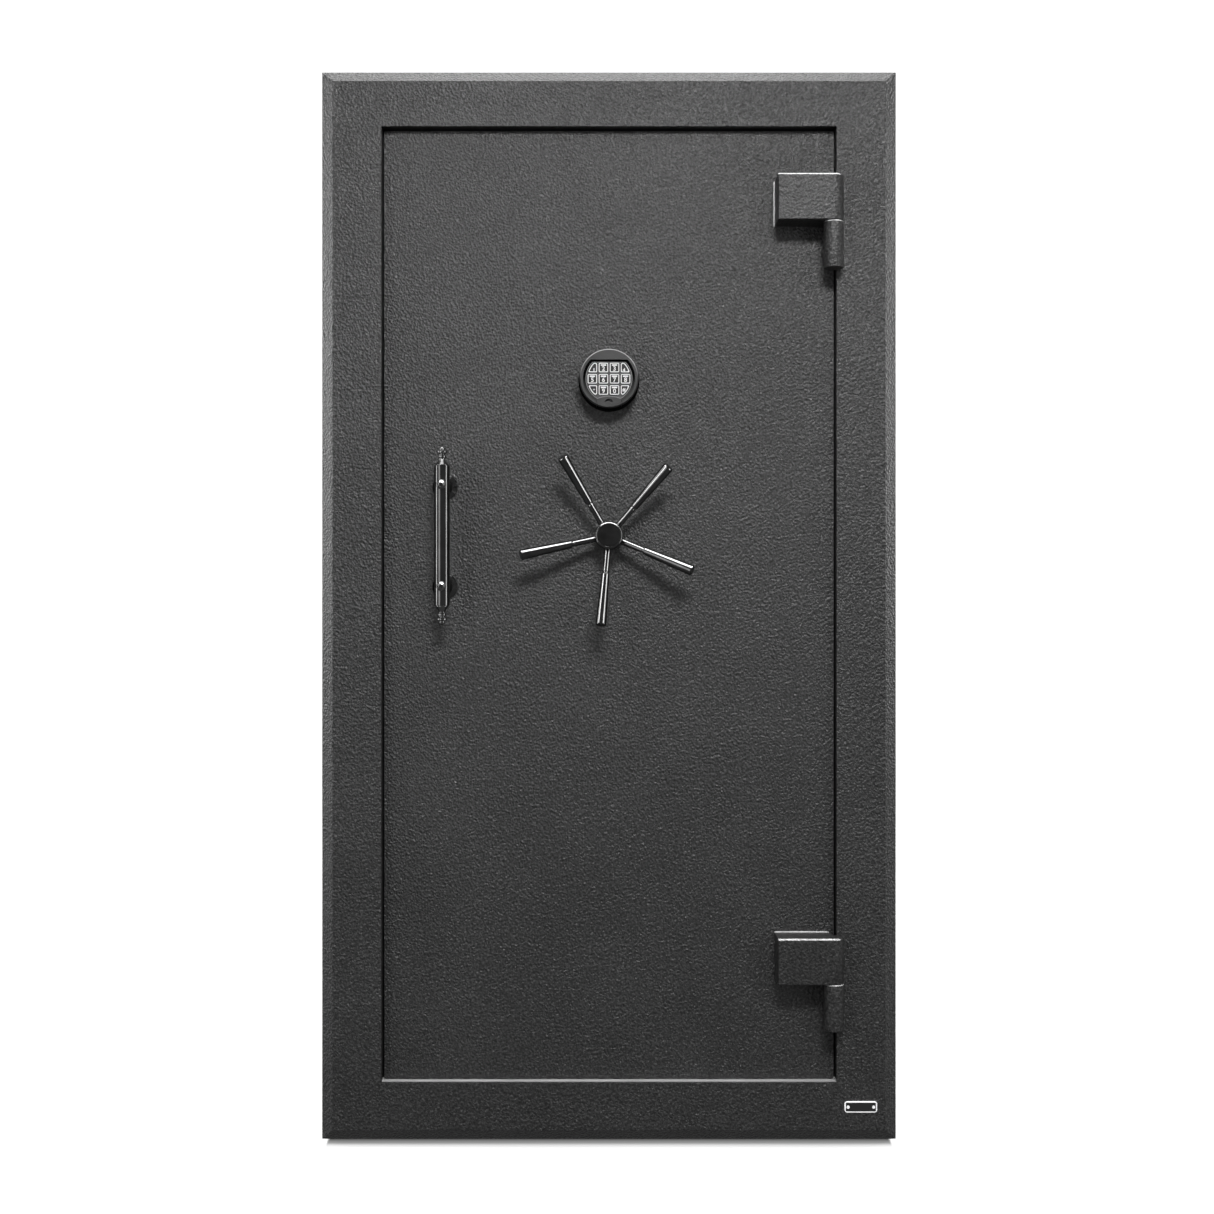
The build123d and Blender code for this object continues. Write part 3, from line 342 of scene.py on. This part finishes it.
def hub_metal():
    """Black nickel rim round a satin black cap, told apart by the distance from the handle's axis."""
    t = Tree("hub_nickel_and_cap")
    sep = t.t.nodes.new("ShaderNodeSeparateXYZ")
    t.link(t.co, sep.inputs[0])
    r = t.math("SQRT", t.math("ADD", t.math("POWER", sep.outputs[0], 2.0), t.math("POWER", t.math("SUBTRACT", sep.outputs[2], HUB_Z), 2.0)))
    rim = t.remap(r, 0.0, 1.0, 0.0156, 0.0159)
    haze = t.noise(60, 3.0, 0.6)
    cap = t.ramp(haze, [(0.3, 0.002), (0.7, 0.005)])
    nickel = t.ramp(haze, [(0.3, 0.075), (0.7, 0.11)])
    mix = t.t.nodes.new("ShaderNodeMix")
    mix.data_type = "RGBA"
    t.link(rim, mix.inputs["Factor"])
    t.link(cap, mix.inputs[6])
    t.link(nickel, mix.inputs[7])
    t.color(mix.outputs[2])
    t.rough(t.math("ADD", t.remap(rim, 0.36, 0.12), t.math("MULTIPLY", haze, 0.08)))
    t.normal(t.bump(t.noise(1400, 2.0, 0.5), 0.06, 0.0002))
    t.link(rim, t.b.inputs["Metallic"])
    t.link(t.remap(rim, 0.05, 0.5), t.b.inputs["Specular IOR Level"])
    return t.m


def pad_shell():
    """Moulded housing with a lighter membrane panel at the bottom of the recess. Painted shade darkens the recess
    walls and the outer side, and a painted highlight makes the upper front edge pale.
    """
    t = Tree("pad_shell_and_panel")
    sep = t.t.nodes.new("ShaderNodeSeparateXYZ")
    t.link(t.co, sep.inputs[0])
    x, y = sep.outputs[0], sep.outputs[1]
    z = t.math("SUBTRACT", sep.outputs[2], PAD_Z)
    r = t.math("SQRT", t.math("ADD", t.math("POWER", x, 2.0), t.math("POWER", z, 2.0)))
    near = t.math("ABSOLUTE", t.math("SUBTRACT", y, PANEL_Y))
    panel = t.remap(near, 1.0, 0.0, 0.0002, 0.0004)
    # Painted highlight: a pale band round the front edge, on its upper part only.
    rim_highlight = t.remap(t.math("ABSOLUTE", t.math("SUBTRACT", r, 0.0407)), 1.0, 0.0, 0.0005, 0.0009)
    rim_highlight = t.math("MULTIPLY", rim_highlight, t.remap(z, 0.0, 1.0, -0.002, 0.024))
    rim_highlight = t.math("MULTIPLY", rim_highlight, t.remap(y, 1.0, 0.0, -0.3200, -0.3192))
    # Painted shade: near black on the outer side and on the recess walls, with less specular.
    side = t.remap(r, 0.0, 1.0, 0.0413, 0.0418)
    wall = t.math("MULTIPLY", t.remap(r, 1.0, 0.0, 0.0371, 0.0374), t.remap(y, 0.0, 1.0, -0.3219, -0.3216))
    painted_shade_mask = t.math("MAXIMUM", side, wall)
    fine = t.noise(1500, 2.0, 0.6)
    wide = t.noise(60, 3.0, 0.55)

    def blend(fac, a, b):
        mix = t.t.nodes.new("ShaderNodeMix")
        mix.data_type = "RGBA"
        t.link(fac, mix.inputs["Factor"])
        t.link(a, mix.inputs[6])
        t.link(b, mix.inputs[7])
        return mix.outputs[2]

    shell = blend(rim_highlight, t.ramp(wide, [(0.3, 0.015), (0.7, 0.023)]), t.ramp(wide, [(0.3, 0.26), (0.7, 0.34)]))
    shell = blend(painted_shade_mask, shell, t.ramp(wide, [(0.3, 0.004), (0.7, 0.008)]))
    t.color(blend(panel, shell, t.ramp(wide, [(0.3, 0.085), (0.7, 0.11)])))
    t.link(t.remap(painted_shade_mask, 0.5, 0.0), t.b.inputs["Specular IOR Level"])
    t.rough(t.remap(wide, 0.34, 0.46, 0.3, 0.7))
    t.normal(t.bump(fine, 0.12, 0.0002))
    return t.m


def recess_shade():
    """A band of painted shade round the membrane, near black at the top and fading to dark grey towards the bottom."""
    t = Tree("recess_painted_shade")
    sep = t.t.nodes.new("ShaderNodeSeparateXYZ")
    t.link(t.co, sep.inputs[0])
    bloom = t.noise(120, 3.0, 0.6)
    # Tone of the painted shade: near black at the top, lighter towards the bottom.
    shade_fade = t.remap(t.math("ADD", t.math("SUBTRACT", sep.outputs[2], PAD_Z), t.math("MULTIPLY", bloom, 0.006)), 0.030, 0.002, -0.016, 0.006)
    t.color(t.math("MULTIPLY", shade_fade, t.remap(bloom, 0.8, 1.2, 0.3, 0.7)))
    t.rough(t.remap(bloom, 0.5, 0.72, 0.3, 0.7))
    t.normal(t.bump(t.noise(800, 2.0, 0.55), 0.2, 0.0003))
    t.link(t.math("MULTIPLY", shade_fade, 8.0), t.b.inputs["Specular IOR Level"])
    return t.m


def key_white():
    t = Tree("key_print")
    wear = t.noise(900, 3.0, 0.6)
    t.color(t.ramp(wear, [(0.3, 0.62), (0.7, 0.86)]))
    t.rough(t.remap(wear, 0.4, 0.6, 0.3, 0.7))
    t.normal(t.bump(wear, 0.1, 0.0001))
    return t.m


M_PRINT = key_white()
M_HUB = hub_metal()
M_SHELL = pad_shell()
M_RECESS_SHADE = recess_shade()

SLOTS = {}
for part in ("body_side_walls", "body_top_wall", "body_bottom_plate", "body_back_wall", "front_frame", "door_plate"):
    SLOTS[part] = M_PAINT
SLOTS["hinge_blocks"] = M_BLOCK
SLOTS["hinge_barrels"] = M_BARREL
for part in ("door_jamb", "door_pan"):
    SLOTS[part] = M_JAMB
SLOTS["boltwork_plate"] = M_WORK
for part in ("handle_spokes", "pull_bar", "pull_finials", "pull_standoffs", "pull_screws"):
    SLOTS[part] = M_BLACK_CHROME
SLOTS["handle_hub"] = M_HUB
SLOTS["spindle_bushing"] = M_COLLAR
SLOTS["keypad_housing"] = M_SHELL
SLOTS["battery_drawer"] = M_SHELL
SLOTS["pull_finials"] = M_DOME
KEYS = (
    ("key_1", "key_2", "key_3", "key_4"),
    ("key_5", "key_6", "key_7", "key_8"),
    ("key_star", "key_9", "key_0", "key_hash"),
)
for line in KEYS:
    for part in line:
        SLOTS[part] = M_KEY
SLOTS["door_seal"] = M_SEAL
for part in ("left_bolts", "right_bolts", "top_bolts", "bottom_bolts"):
    SLOTS[part] = M_CHROME
for part in ("left_bolt_bar", "right_bolt_bar", "top_bolt_bar", "bottom_bolt_bar", "rack_guides", "shelf_clips", "door_screws", "lock_bolt"):
    SLOTS[part] = M_PLATED
for part in ("pinion_shaft", "hinge_pins"):
    SLOTS[part] = M_GEAR
for part in ("door_fireboard", "fireboard_lining"):
    SLOTS[part] = M_FIREBOARD
SLOTS["carpet_lining"] = M_CARPET
for part in ("top_shelf", "center_divider", "side_shelves", "barrel_rest", "door_cover_panel"):
    SLOTS[part] = M_CARPET_LT
SLOTS["name_plate"] = M_SILVER
for part in ("lock_case", "lock_cover"):
    SLOTS[part] = M_ZINC_PAINT
SLOTS["battery"] = M_BATTERY
SLOTS["keypad_cable"] = M_CABLE


def use_material(obj, m):
    if not obj.material_slots:
        obj.data.materials.append(m)
    for s in obj.material_slots:
        s.material = m


for part, obj in N.items():
    use_material(obj, SLOTS[part])

# Softened edges on the CAD nodes that show.
SOFTEN = {
    "front_frame": 1.6,
    "body_side_walls": 0.8,
    "body_top_wall": 0.8,
    "body_back_wall": 0.8,
    "door_plate": 1.0,
    "hinge_blocks": 0.9,
    "hinge_barrels": 0.5,
    "keypad_housing": 0.35,
    "battery_drawer": 0.35,
    "handle_hub": 0.25,
    "pull_standoffs": 0.3,
    "door_jamb": 0.6,
    "door_pan": 0.6,
    "top_shelf": 1.5,
    "center_divider": 1.5,
    "side_shelves": 1.5,
    "barrel_rest": 1.5,
    "door_cover_panel": 1.5,
    "lock_case": 0.5,
    "lock_cover": 0.4,
    "left_bolt_bar": 0.3,
    "right_bolt_bar": 0.3,
    "top_bolt_bar": 0.3,
    "bottom_bolt_bar": 0.3,
    "rack_guides": 0.5,
}
for part, width in SOFTEN.items():
    w = N[part].modifiers.new("weld", "WELD")
    w.merge_threshold = 0.00002
    v = N[part].modifiers.new("soft_edge", "BEVEL")
    v.width = width * MM
    v.segments = 2
    v.limit_method = "ANGLE"
    v.angle_limit = math.radians(35)
    v.harden_normals = False
    v.use_clamp_overlap = True


# ------------------------------------------------------------------ mesh helpers
def make(name, verts, faces, material, body, smooth=True):
    mesh = bpy.data.meshes.new(name)
    mesh.from_pydata([tuple(v) for v in verts], [], faces)
    bm = bmesh.new()
    bm.from_mesh(mesh)
    bmesh.ops.remove_doubles(bm, verts=bm.verts, dist=1e-7)
    bmesh.ops.recalc_face_normals(bm, faces=bm.faces)
    bm.to_mesh(mesh)
    bm.free()
    for p in mesh.polygons:
        p.use_smooth = smooth
    mesh.materials.append(material)
    obj = bpy.data.objects.new(name, mesh)
    scene.collection.objects.link(obj)
    if smooth:
        mark_sharp(obj, 40)
    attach(obj, body)
    return obj


def mark_sharp(obj, angle):
    """Edges sharper than the angle stay crisp."""
    bm = bmesh.new()
    bm.from_mesh(obj.data)
    for e in bm.edges:
        if len(e.link_faces) == 2 and e.calc_face_angle(0) > math.radians(angle):
            e.smooth = False
    bm.to_mesh(obj.data)
    bm.free()


def lathe(name, profile, origin, axis, material, body, segs=96):
    """A closed solid of revolution. profile holds (radius, distance along axis), in mm."""
    axis = Vector(axis).normalized()
    side = axis.orthogonal().normalized()
    up = axis.cross(side)
    origin = Vector(origin)
    verts, faces, rings = [], [], []
    for r, h in profile:
        centre = origin + axis * h * MM
        if r < 1e-6:
            rings.append([len(verts)])
            verts.append(centre)
        else:
            rings.append(list(range(len(verts), len(verts) + segs)))
            for i in range(segs):
                a = 2 * math.pi * i / segs
                verts.append(centre + (side * math.cos(a) + up * math.sin(a)) * r * MM)
    for a, b in zip(rings, rings[1:]):
        for i in range(segs):
            j = (i + 1) % segs
            if len(a) == 1 and len(b) == 1:
                continue
            if len(a) == 1:
                faces.append((a[0], b[i], b[j]))
            elif len(b) == 1:
                faces.append((a[i], b[0], a[j]))
            else:
                faces.append((a[i], b[i], b[j], a[j]))
    return make(name, verts, faces, material, body)


def arc(cx, cy, r, a0, a1, n):
    return [
        (cx + r * math.cos(math.radians(a0 + (a1 - a0) * i / n)), cy + r * math.sin(math.radians(a0 + (a1 - a0) * i / n)))
        for i in range(n + 1)
    ]


def tube(name, path, radius, material, body, sides=10, wobble=0.0, seed=1, closed=False):
    """A bead along a path of points, with a hand-laid unevenness."""
    rng = random.Random(seed)
    pts = []
    for a, b in zip(path, path[1:]):
        a, b = Vector(a), Vector(b)
        n = max(1, int((b - a).length / 0.0022))
        pts += [a.lerp(b, i / n) for i in range(n)]
    pts.append(Vector(path[-1]))
    verts, faces = [], []
    for i, p in enumerate(pts):
        d = (pts[min(i + 1, len(pts) - 1)] - pts[max(i - 1, 0)]).normalized()
        ref = Vector((0, 1, 0)) if abs(d.y) < 0.9 else Vector((1, 0, 0))
        s = d.cross(ref).normalized()
        u = s.cross(d)
        r = radius * (1 + wobble * (0.5 * math.sin(i * 1.9) + rng.uniform(-0.6, 0.6)))
        if i in (0, len(pts) - 1):
            r *= 0.35
        for k in range(sides):
            a = 2 * math.pi * k / sides
            verts.append(p + (s * math.cos(a) + u * math.sin(a)) * r)
    for i in range(len(pts) - 1):
        for k in range(sides):
            m = (k + 1) % sides
            faces.append((i * sides + k, i * sides + m, (i + 1) * sides + m, (i + 1) * sides + k))
    faces.append(tuple(range(sides)))
    faces.append(tuple(reversed(range((len(pts) - 1) * sides, len(pts) * sides))))
    return make(name, verts, faces, material, body)


def band(name, outer, inner, y_low, y_high, material, body, bevel=0.0):
    """A flat closed ring between two outlines of (x, z) points in metres, from depth y_low to y_high (the front)."""
    n = len(outer)
    verts = (
        [(x, y_low, z) for x, z in outer]
        + [(x, y_high, z) for x, z in outer]
        + [(x, y_high, z) for x, z in inner]
        + [(x, y_low, z) for x, z in inner]
    )
    faces = []
    for k in range(4):
        a, b = k * n, ((k + 1) % 4) * n
        for i in range(n):
            j = (i + 1) % n
            faces.append((a + i, a + j, b + j, b + i))
    return make(name, verts, faces, material, body)


def slab(name, outline, y_low, y_high, material, body):
    """A flat closed plate with an outline of (x, z) points in metres."""
    n = len(outline)
    verts = [(x, y_low, z) for x, z in outline] + [(x, y_high, z) for x, z in outline]
    faces = [tuple(range(n)), tuple(range(n, 2 * n))]
    for i in range(n):
        j = (i + 1) % n
        faces.append((i, j, n + j, n + i))
    return make(name, verts, faces, material, body)


# ------------------------------------------------------------------ keypad details
KEY_COLS = (-23.4, -7.8, 7.8, 23.4)
KEY_ROWS = (15.3, -0.5, -16.3)


def rounded_rect_hit(px, pz, dx, dz, half, r):
    """How far a ray from (px, pz), inside, goes to the edge of a rounded square, by halving."""
    lo, hi = 0.0, 4 * half

    def inside(s):
        x, z = abs(px + dx * s), abs(pz + dz * s)
        if x > half or z > half:
            return False
        if x > half - r and z > half - r:
            return math.hypot(x - half + r, z - half + r) <= r
        return True

    for _ in range(30):
        mid = (lo + hi) / 2
        if inside(mid):
            lo = mid
        else:
            hi = mid
    return lo


def key_outline(col, row, inset, n=72):
    """The key's outline, (x, z) in mm from the pad's centre, drawn in by inset and with rounded cut corners."""
    kx, kz = KEY_COLS[col], KEY_ROWS[row]
    pull = 0.0
    if col in (0, 3) and row in (0, 2):
        pull = 2.6
    cx = kx - math.copysign(pull, kx)
    cz = kz - math.copysign(pull, kz)
    half, r = 7.1 - inset, max(0.3, 2.0 - inset)
    clip = 31.0 - inset
    raw = []
    for i in range(n):
        a = 2 * math.pi * i / n
        dx, dz = math.cos(a), math.sin(a)
        s1 = rounded_rect_hit(cx - kx, cz - kz, dx, dz, half, r)
        bq = cx * dx + cz * dz
        s2 = -bq + math.sqrt(max(0.0, bq * bq - (cx * cx + cz * cz - clip * clip)))
        raw.append((min(s1, s2), dx, dz))
    for _ in range(3 if pull else 0):
        raw = [
            (min(raw[i][0], 0.25 * raw[i - 1][0] + 0.5 * raw[i][0] + 0.25 * raw[(i + 1) % n][0]), raw[i][1], raw[i][2])
            for i in range(n)
        ]
    return [((cx + s * dx) * MM, PAD_Z + (cz + s * dz) * MM) for s, dx, dz in raw]


def glyph(name, text, x, z, y, size, body):
    curve = bpy.data.curves.new(name + "_curve", "FONT")
    curve.body = text
    curve.size = size
    curve.align_x = "CENTER"
    curve.align_y = "CENTER"
    curve.extrude = 0.00006
    curve.offset = 0.00022
    curve.resolution_u = 6
    temp = bpy.data.objects.new(name + "_text", curve)
    scene.collection.objects.link(temp)
    temp.matrix_world = Matrix.Translation((x, y, z)) @ Matrix.Rotation(math.pi / 2, 4, "X")
    bpy.context.view_layer.update()
    dg = bpy.context.evaluated_depsgraph_get()
    mesh = bpy.data.meshes.new_from_object(temp.evaluated_get(dg))
    mesh.transform(temp.matrix_world)
    bpy.data.objects.remove(temp)
    obj = bpy.data.objects.new(name, mesh)
    scene.collection.objects.link(obj)
    use_material(obj, M_PRINT)
    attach(obj, body)
    return obj


GLYPHS = {"key_star": "*", "key_hash": "#"}
KEY_FRONT = -0.3189
for row, line in enumerate(KEYS):
    for col, part in enumerate(line):
        band(part + "_rim", key_outline(col, row, 0.40), key_outline(col, row, 1.70), KEY_FRONT + 0.0002, KEY_FRONT - 0.00018, M_PRINT, part)
        kx, kz = KEY_COLS[col], KEY_ROWS[row]
        corner = col in (0, 3) and row in (0, 2)
        if corner:
            kx -= math.copysign(2.2, kx)
            kz -= math.copysign(2.0, kz)
        text = GLYPHS.get(part, part[-1])
        down = -3.4 if text == "*" else -1.7
        glyph(part + "_mark", text, kx * MM, PAD_Z + (kz + down) * MM, KEY_FRONT - 0.00004, 0.0070 if corner else 0.0086, part)
        if not corner:
            bar = [(kx + u, kz + 3.5 + v) for u, v in arc(2.8, 0, 1.1, -90, 90, 6) + arc(-2.8, 0, 1.1, 90, 270, 6)]
            slab(part + "_bar", [(u * MM, PAD_Z + v * MM) for u, v in bar], KEY_FRONT + 0.0001, KEY_FRONT - 0.0001, M_PRINT, part)

# The panel: a thin lighter membrane with a printed border, behind the keys.
def panel_outline(r, top, arc_r, arc_top, n=180):
    pts = []
    for i in range(n):
        a = 2 * math.pi * i / n
        dx, dz = math.cos(a), math.sin(a)
        s = r
        if dz > 1e-6:
            s = min(s, top / dz)
        # stay outside the lip's arc, centred below the pad
        cz = arc_top - arc_r
        b = -cz * dz
        disc = b * b - (cz * cz - arc_r * arc_r)
        if dz < 0 and disc > 0:
            hit = -b - math.sqrt(disc)
            if hit > 0:
                s = min(s, hit)
        pts.append((s * dx * MM, PAD_Z + s * dz * MM))
    return pts


band("pad_border", panel_outline(32.9, 23.3, 46.0, -25.3), panel_outline(32.3, 22.7, 46.0, -24.7), PANEL_Y + 0.0001, PANEL_Y - 0.00012, M_RING, "door")

# A dark band of painted shade round the membrane, under the recess's upper edge and along its sides.
band("pad_recess_shade", panel_outline(36.7, 26.2, 46.0, -26.6), panel_outline(33.0, 23.4, 46.0, -26.2), PANEL_Y + 0.0001, PANEL_Y - 0.0004, M_RECESS_SHADE, "door")

# ------------------------------------------------------------------ pull handle screws
# Dome head with a round socket, (radius, height) in mm, the head's seat at 0.
DOME = [(6.9, 0.0), (6.9, 0.9)] + [(6.9 * math.cos(a), 0.9 + 3.7 * math.sin(a)) for a in [math.radians(8 * i) for i in range(1, 9)]]
DOME += [(2.7, 4.35), (2.5, 3.2), (2.2, 2.9), (0.0, 2.9)]


DOMES = [
    lathe("pull_screw_dome_%d" % (k + 1), [(0.0, 0.0)] + DOME, (-0.234, -0.3430, z), (0, -1, 0), M_DOME, "door", segs=64)
    for k, z in enumerate((0.860 - PULL_HALF, 0.860 + PULL_HALF))
]

# ------------------------------------------------------------------ name plate field
def rounded(cx, cz, w, h, r, n=8):
    pts = []
    for sx, sz, a0 in ((1, 1, 0), (-1, 1, 90), (-1, -1, 180), (1, -1, 270)):
        pts += arc(cx + sx * (w / 2 - r), cz + sz * (h / 2 - r), r, a0, a0 + 90, n)
    return [(x * MM, z * MM) for x, z in pts]


slab("name_plate_field", rounded(357.0, 51.3, 42.6, 12.2, 1.4), -0.3061, -0.30636, M_KEY, "body")

# ------------------------------------------------------------------ weld beads round the hinge blocks
def bead(name, path, material, seed):
    return tube(name, path, 0.0015, material, "door", wobble=0.16, seed=seed)


BX0, BX1, BY = 0.2361, 0.314, -0.2872
for k, (z0, z1) in enumerate(((1.3027, 1.3684), (0.2297, 0.2954))):
    # One bead on each hinge takes a bright colour as a painted highlight: the left one on the upper hinge, the top one
    # on the lower. The others take the door's paint.
    highlight_side = ("left", "top")[k]
    bead("hinge_weld_%d_left" % (k + 1), [(BX0, BY, z0), (BX0, BY, z1)], M_BEAD_HIGHLIGHT if highlight_side == "left" else M_PAINT, 5 + k)
    bead("hinge_weld_%d_top" % (k + 1), [(BX0, BY, z1), (BX1, BY, z1)], M_BEAD_HIGHLIGHT if highlight_side == "top" else M_PAINT, 15 + k)
    bead("hinge_weld_%d_bottom" % (k + 1), [(BX0, BY, z0), (BX1, BY, z0)], M_PAINT, 25 + k)

# ------------------------------------------------------------------ camera
cam_data = bpy.data.cameras.new("camera")
cam = bpy.data.objects.new("camera", cam_data)
scene.collection.objects.link(cam)
cam_data.sensor_width = 36.0
cam_data.lens = 48.1
cam.location = (-0.0028, -2.605, 0.760)
cam.rotation_euler = (math.radians(90), 0, 0)
cam_data.clip_start = 0.05
cam_data.clip_end = 60
scene.camera = cam


# ------------------------------------------------------------------ light and surroundings
def area(name, loc, target, size_x, size_y, power, color=(1, 1, 1), spread=180):
    d = bpy.data.lights.new(name, "AREA")
    d.shape = "RECTANGLE"
    d.size = size_x
    d.size_y = size_y
    d.energy = power
    d.color = color
    d.spread = math.radians(spread)
    o = bpy.data.objects.new(name, d)
    o.location = loc
    o.rotation_euler = (Vector(target) - Vector(loc)).to_track_quat("-Z", "Y").to_euler()
    o.visible_camera = False
    scene.collection.objects.link(o)
    return o


# The bright parts are kept out of the main light and have panels of their own, which light nothing else.
LONG = ["handle_spokes", "pull_bar"]
SMALL = ["handle_hub", "pull_finials", "pull_screws"]


def linked(lights, names, state):
    group = bpy.data.collections.new("light_link_" + lights[0].name)
    for n in names:
        group.objects.link(N[n] if isinstance(n, str) else n)
    for c in group.collection_objects:
        c.light_linking.link_state = state
    for o in lights:
        o.light_linking.receiver_collection = group


key = area("key_softbox", (0.30, -2.72, 2.50), (0.0, -0.3, 1.0), 0.9, 0.45, 64)
general = [
    key,
    area("overhead", (0.0, 0.25, 4.2), (0.0, 0.25, 0.0), 2.6, 1.8, 98),
    area("left_strip", (-2.2, -0.10, 1.1), (0, -0.3, 1.1), 0.30, 2.0, 12),
    area("right_strip", (2.2, -0.25, 0.9), (0, -0.3, 0.9), 0.30, 2.2, 4),
    area("left_fill", (-1.75, -2.5, 1.3), (0, -0.3, 1.0), 0.9, 1.6, 12),
    area("right_fill", (1.75, -2.5, 1.3), (0, -0.3, 1.0), 0.9, 1.6, 7),
]
# Behind the cabinet, for its sides and back.
area("back_fill", (0.0, 3.4, 2.3), (0.0, 0.3, 0.8), 2.4, 1.6, 55)
area("rear_left", (-3.0, 1.6, 1.6), (-0.4, 0.1, 0.8), 0.8, 1.6, 24)
area("rear_right", (3.0, 1.6, 1.6), (0.4, 0.1, 0.8), 0.8, 1.6, 20)
linked(general, LONG + SMALL, "EXCLUDE")
# The raised rails do not shade the door from the main light.
rails = bpy.data.collections.new("light_link_rails")
rails.objects.link(N["front_frame"])
for c in rails.collection_objects:
    c.light_linking.link_state = "EXCLUDE"
key.light_linking.blocker_collection = rails
linked(
    [
        area("bright_left", (-2.1, -0.62, 1.3), (-0.2, -0.33, 1.3), 0.42, 3.2, 28),
        area("bright_right", (1.85, -1.02, 1.3), (-0.1, -0.33, 1.3), 0.42, 3.2, 28),
        area("bright_low_left", (-1.55, -2.2, 0.9), (-0.2, -0.33, 0.86), 0.9, 1.6, 10),
    ],
    LONG + SMALL,
    "INCLUDE",
)
linked([area("spoke_top", (0.0, -1.15, 3.0), (0.0, -0.33, 0.86), 6.0, 1.5, 560)], LONG, "INCLUDE")
linked(
    [
        area("spoke_left", (-1.9, -1.7, 1.5), (0.0, -0.33, 1.0), 0.5, 2.6, 60),
        area("spoke_right", (1.9, -1.7, 1.5), (0.0, -0.33, 1.0), 0.5, 2.6, 60),
    ],
    ["handle_spokes"],
    "INCLUDE",
)
linked([area("hub_top", (0.0, -1.5, 2.9), (0.0, -0.33, 0.86), 3.0, 1.5, 380)], ["handle_hub"], "INCLUDE")
linked([area("small_top", (0.0, -1.6, 2.9), (0.0, -0.33, 0.86), 3.0, 1.5, 170)], ["pull_screws", "name_plate"] + DOMES, "INCLUDE")
linked([area("finial_top", (0.0, -1.6, 2.9), (0.0, -0.33, 0.86), 3.0, 1.5, 70)], ["pull_finials"], "INCLUDE")
linked(
    [
        area("finial_front", (-1.0, -2.4, 1.25), (-0.234, -0.33, 0.86), 0.5, 0.6, 3),
        area("finial_low", (-0.9, -2.3, 0.15), (-0.234, -0.33, 0.80), 0.4, 0.4, 3),
    ],
    ["pull_finials"] + DOMES,
    "INCLUDE",
)
linked([area("pad_top", (0.0, -1.7, 2.9), (0.0, -0.32, 1.08), 2.4, 1.0, 22)], ["keypad_housing", "battery_drawer"], "INCLUDE")
linked([area("edge_top", (0.30, -0.75, 3.3), (0.28, -0.33, 0.8), 1.0, 0.5, 48)], ["hinge_blocks", "hinge_barrels"], "INCLUDE")

world = bpy.data.worlds.new("world")
scene.world = world
world.use_nodes = True
wn = world.node_tree
wn.nodes["Background"].inputs[0].default_value = (1, 1, 1, 1)
wn.nodes["Background"].inputs[1].default_value = 0.20


def stage_material(name, color, emission):
    t = Tree(name)
    cloud = t.noise(1.2, 2.0, 0.5)
    t.color(t.ramp(cloud, [(0.3, color * 0.985), (0.7, color)]))
    t.set(Roughness=0.9, Specular_IOR_Level=0.1)
    t.b.inputs["Emission Color"].default_value = (1, 1, 1, 1)
    t.b.inputs["Emission Strength"].default_value = emission
    return t


def floor_material():
    """Pale floor that glows evenly, except close round the footprint, where its glow and its colour are turned down
    into a painted contact shadow.
    """
    t = stage_material("floor_pale", 0.55, 1.0)
    sep = t.t.nodes.new("ShaderNodeSeparateXYZ")
    t.link(t.co, sep.inputs[0])
    dx = t.math("MULTIPLY", t.math("MAXIMUM", t.math("SUBTRACT", t.math("ABSOLUTE", sep.outputs[0]), 0.398), 0.0), 9.0)
    dy = t.math("MAXIMUM", t.math("SUBTRACT", t.math("ABSOLUTE", sep.outputs[1]), 0.285), 0.0)
    d = t.math("SQRT", t.math("ADD", t.math("MULTIPLY", dx, dx), t.math("MULTIPLY", dy, dy)))
    near = t.remap(d, 0.0, 1.0, 0.0, 0.050)
    # Painted contact shadow: the glow and the colour fall off close to the footprint.
    glow_with_painted_shadow = t.ramp(near, [(0.0, 0.06), (0.3, 0.20), (0.65, 0.62), (1.0, 1.0)], smooth=True)
    cloud = t.noise(1.2, 2.0, 0.5)
    t.color(t.math("MULTIPLY", t.remap(cloud, 0.535, 0.55, 0.3, 0.7), t.ramp(near, [(0.0, 0.14), (0.3, 0.3), (1.0, 1.0)])))
    t.link(glow_with_painted_shadow, t.b.inputs["Emission Strength"])
    return t.m


floor_mesh = bpy.data.meshes.new("floor")
S = 14.0
floor_mesh.from_pydata([(-S, -S, 0), (S, -S, 0), (S, S, 0), (-S, S, 0)], [], [(0, 1, 2, 3)])
floor_mesh.materials.append(floor_material())
floor = bpy.data.objects.new("floor", floor_mesh)
scene.collection.objects.link(floor)
floor.location.z = -0.0006
floor.visible_diffuse = False
floor.visible_glossy = False

back_mesh = bpy.data.meshes.new("backdrop")
back_mesh.from_pydata([(-S, 6, -0.5), (S, 6, -0.5), (S, 6, 12), (-S, 6, 12)], [], [(0, 1, 2, 3)])
back_mesh.materials.append(stage_material("backdrop_pale", 0.9, 1.02).m)
backdrop = bpy.data.objects.new("backdrop", back_mesh)
scene.collection.objects.link(backdrop)
backdrop.visible_diffuse = False
backdrop.visible_shadow = False
floor.visible_shadow = False

# The other walls and the ceiling of the studio, seen only by the camera from other angles.
walls_mesh = bpy.data.meshes.new("studio_walls")
walls_mesh.from_pydata(
    [(-S, 6, -0.5), (-S, -S, -0.5), (S, -S, -0.5), (S, 6, -0.5), (-S, 6, 12), (-S, -S, 12), (S, -S, 12), (S, 6, 12)],
    [],
    [(0, 1, 5, 4), (1, 2, 6, 5), (2, 3, 7, 6), (4, 5, 6, 7)],
)
walls_mesh.materials.append(stage_material("walls_pale", 0.9, 1.02).m)
walls = bpy.data.objects.new("studio_walls", walls_mesh)
scene.collection.objects.link(walls)
walls.visible_diffuse = False
walls.visible_glossy = False
walls.visible_transmission = False
walls.visible_shadow = False

scene.view_settings.view_transform = "Standard"
scene.view_settings.look = "None"
scene.view_settings.exposure = 0.0
scene.view_settings.gamma = 1.0
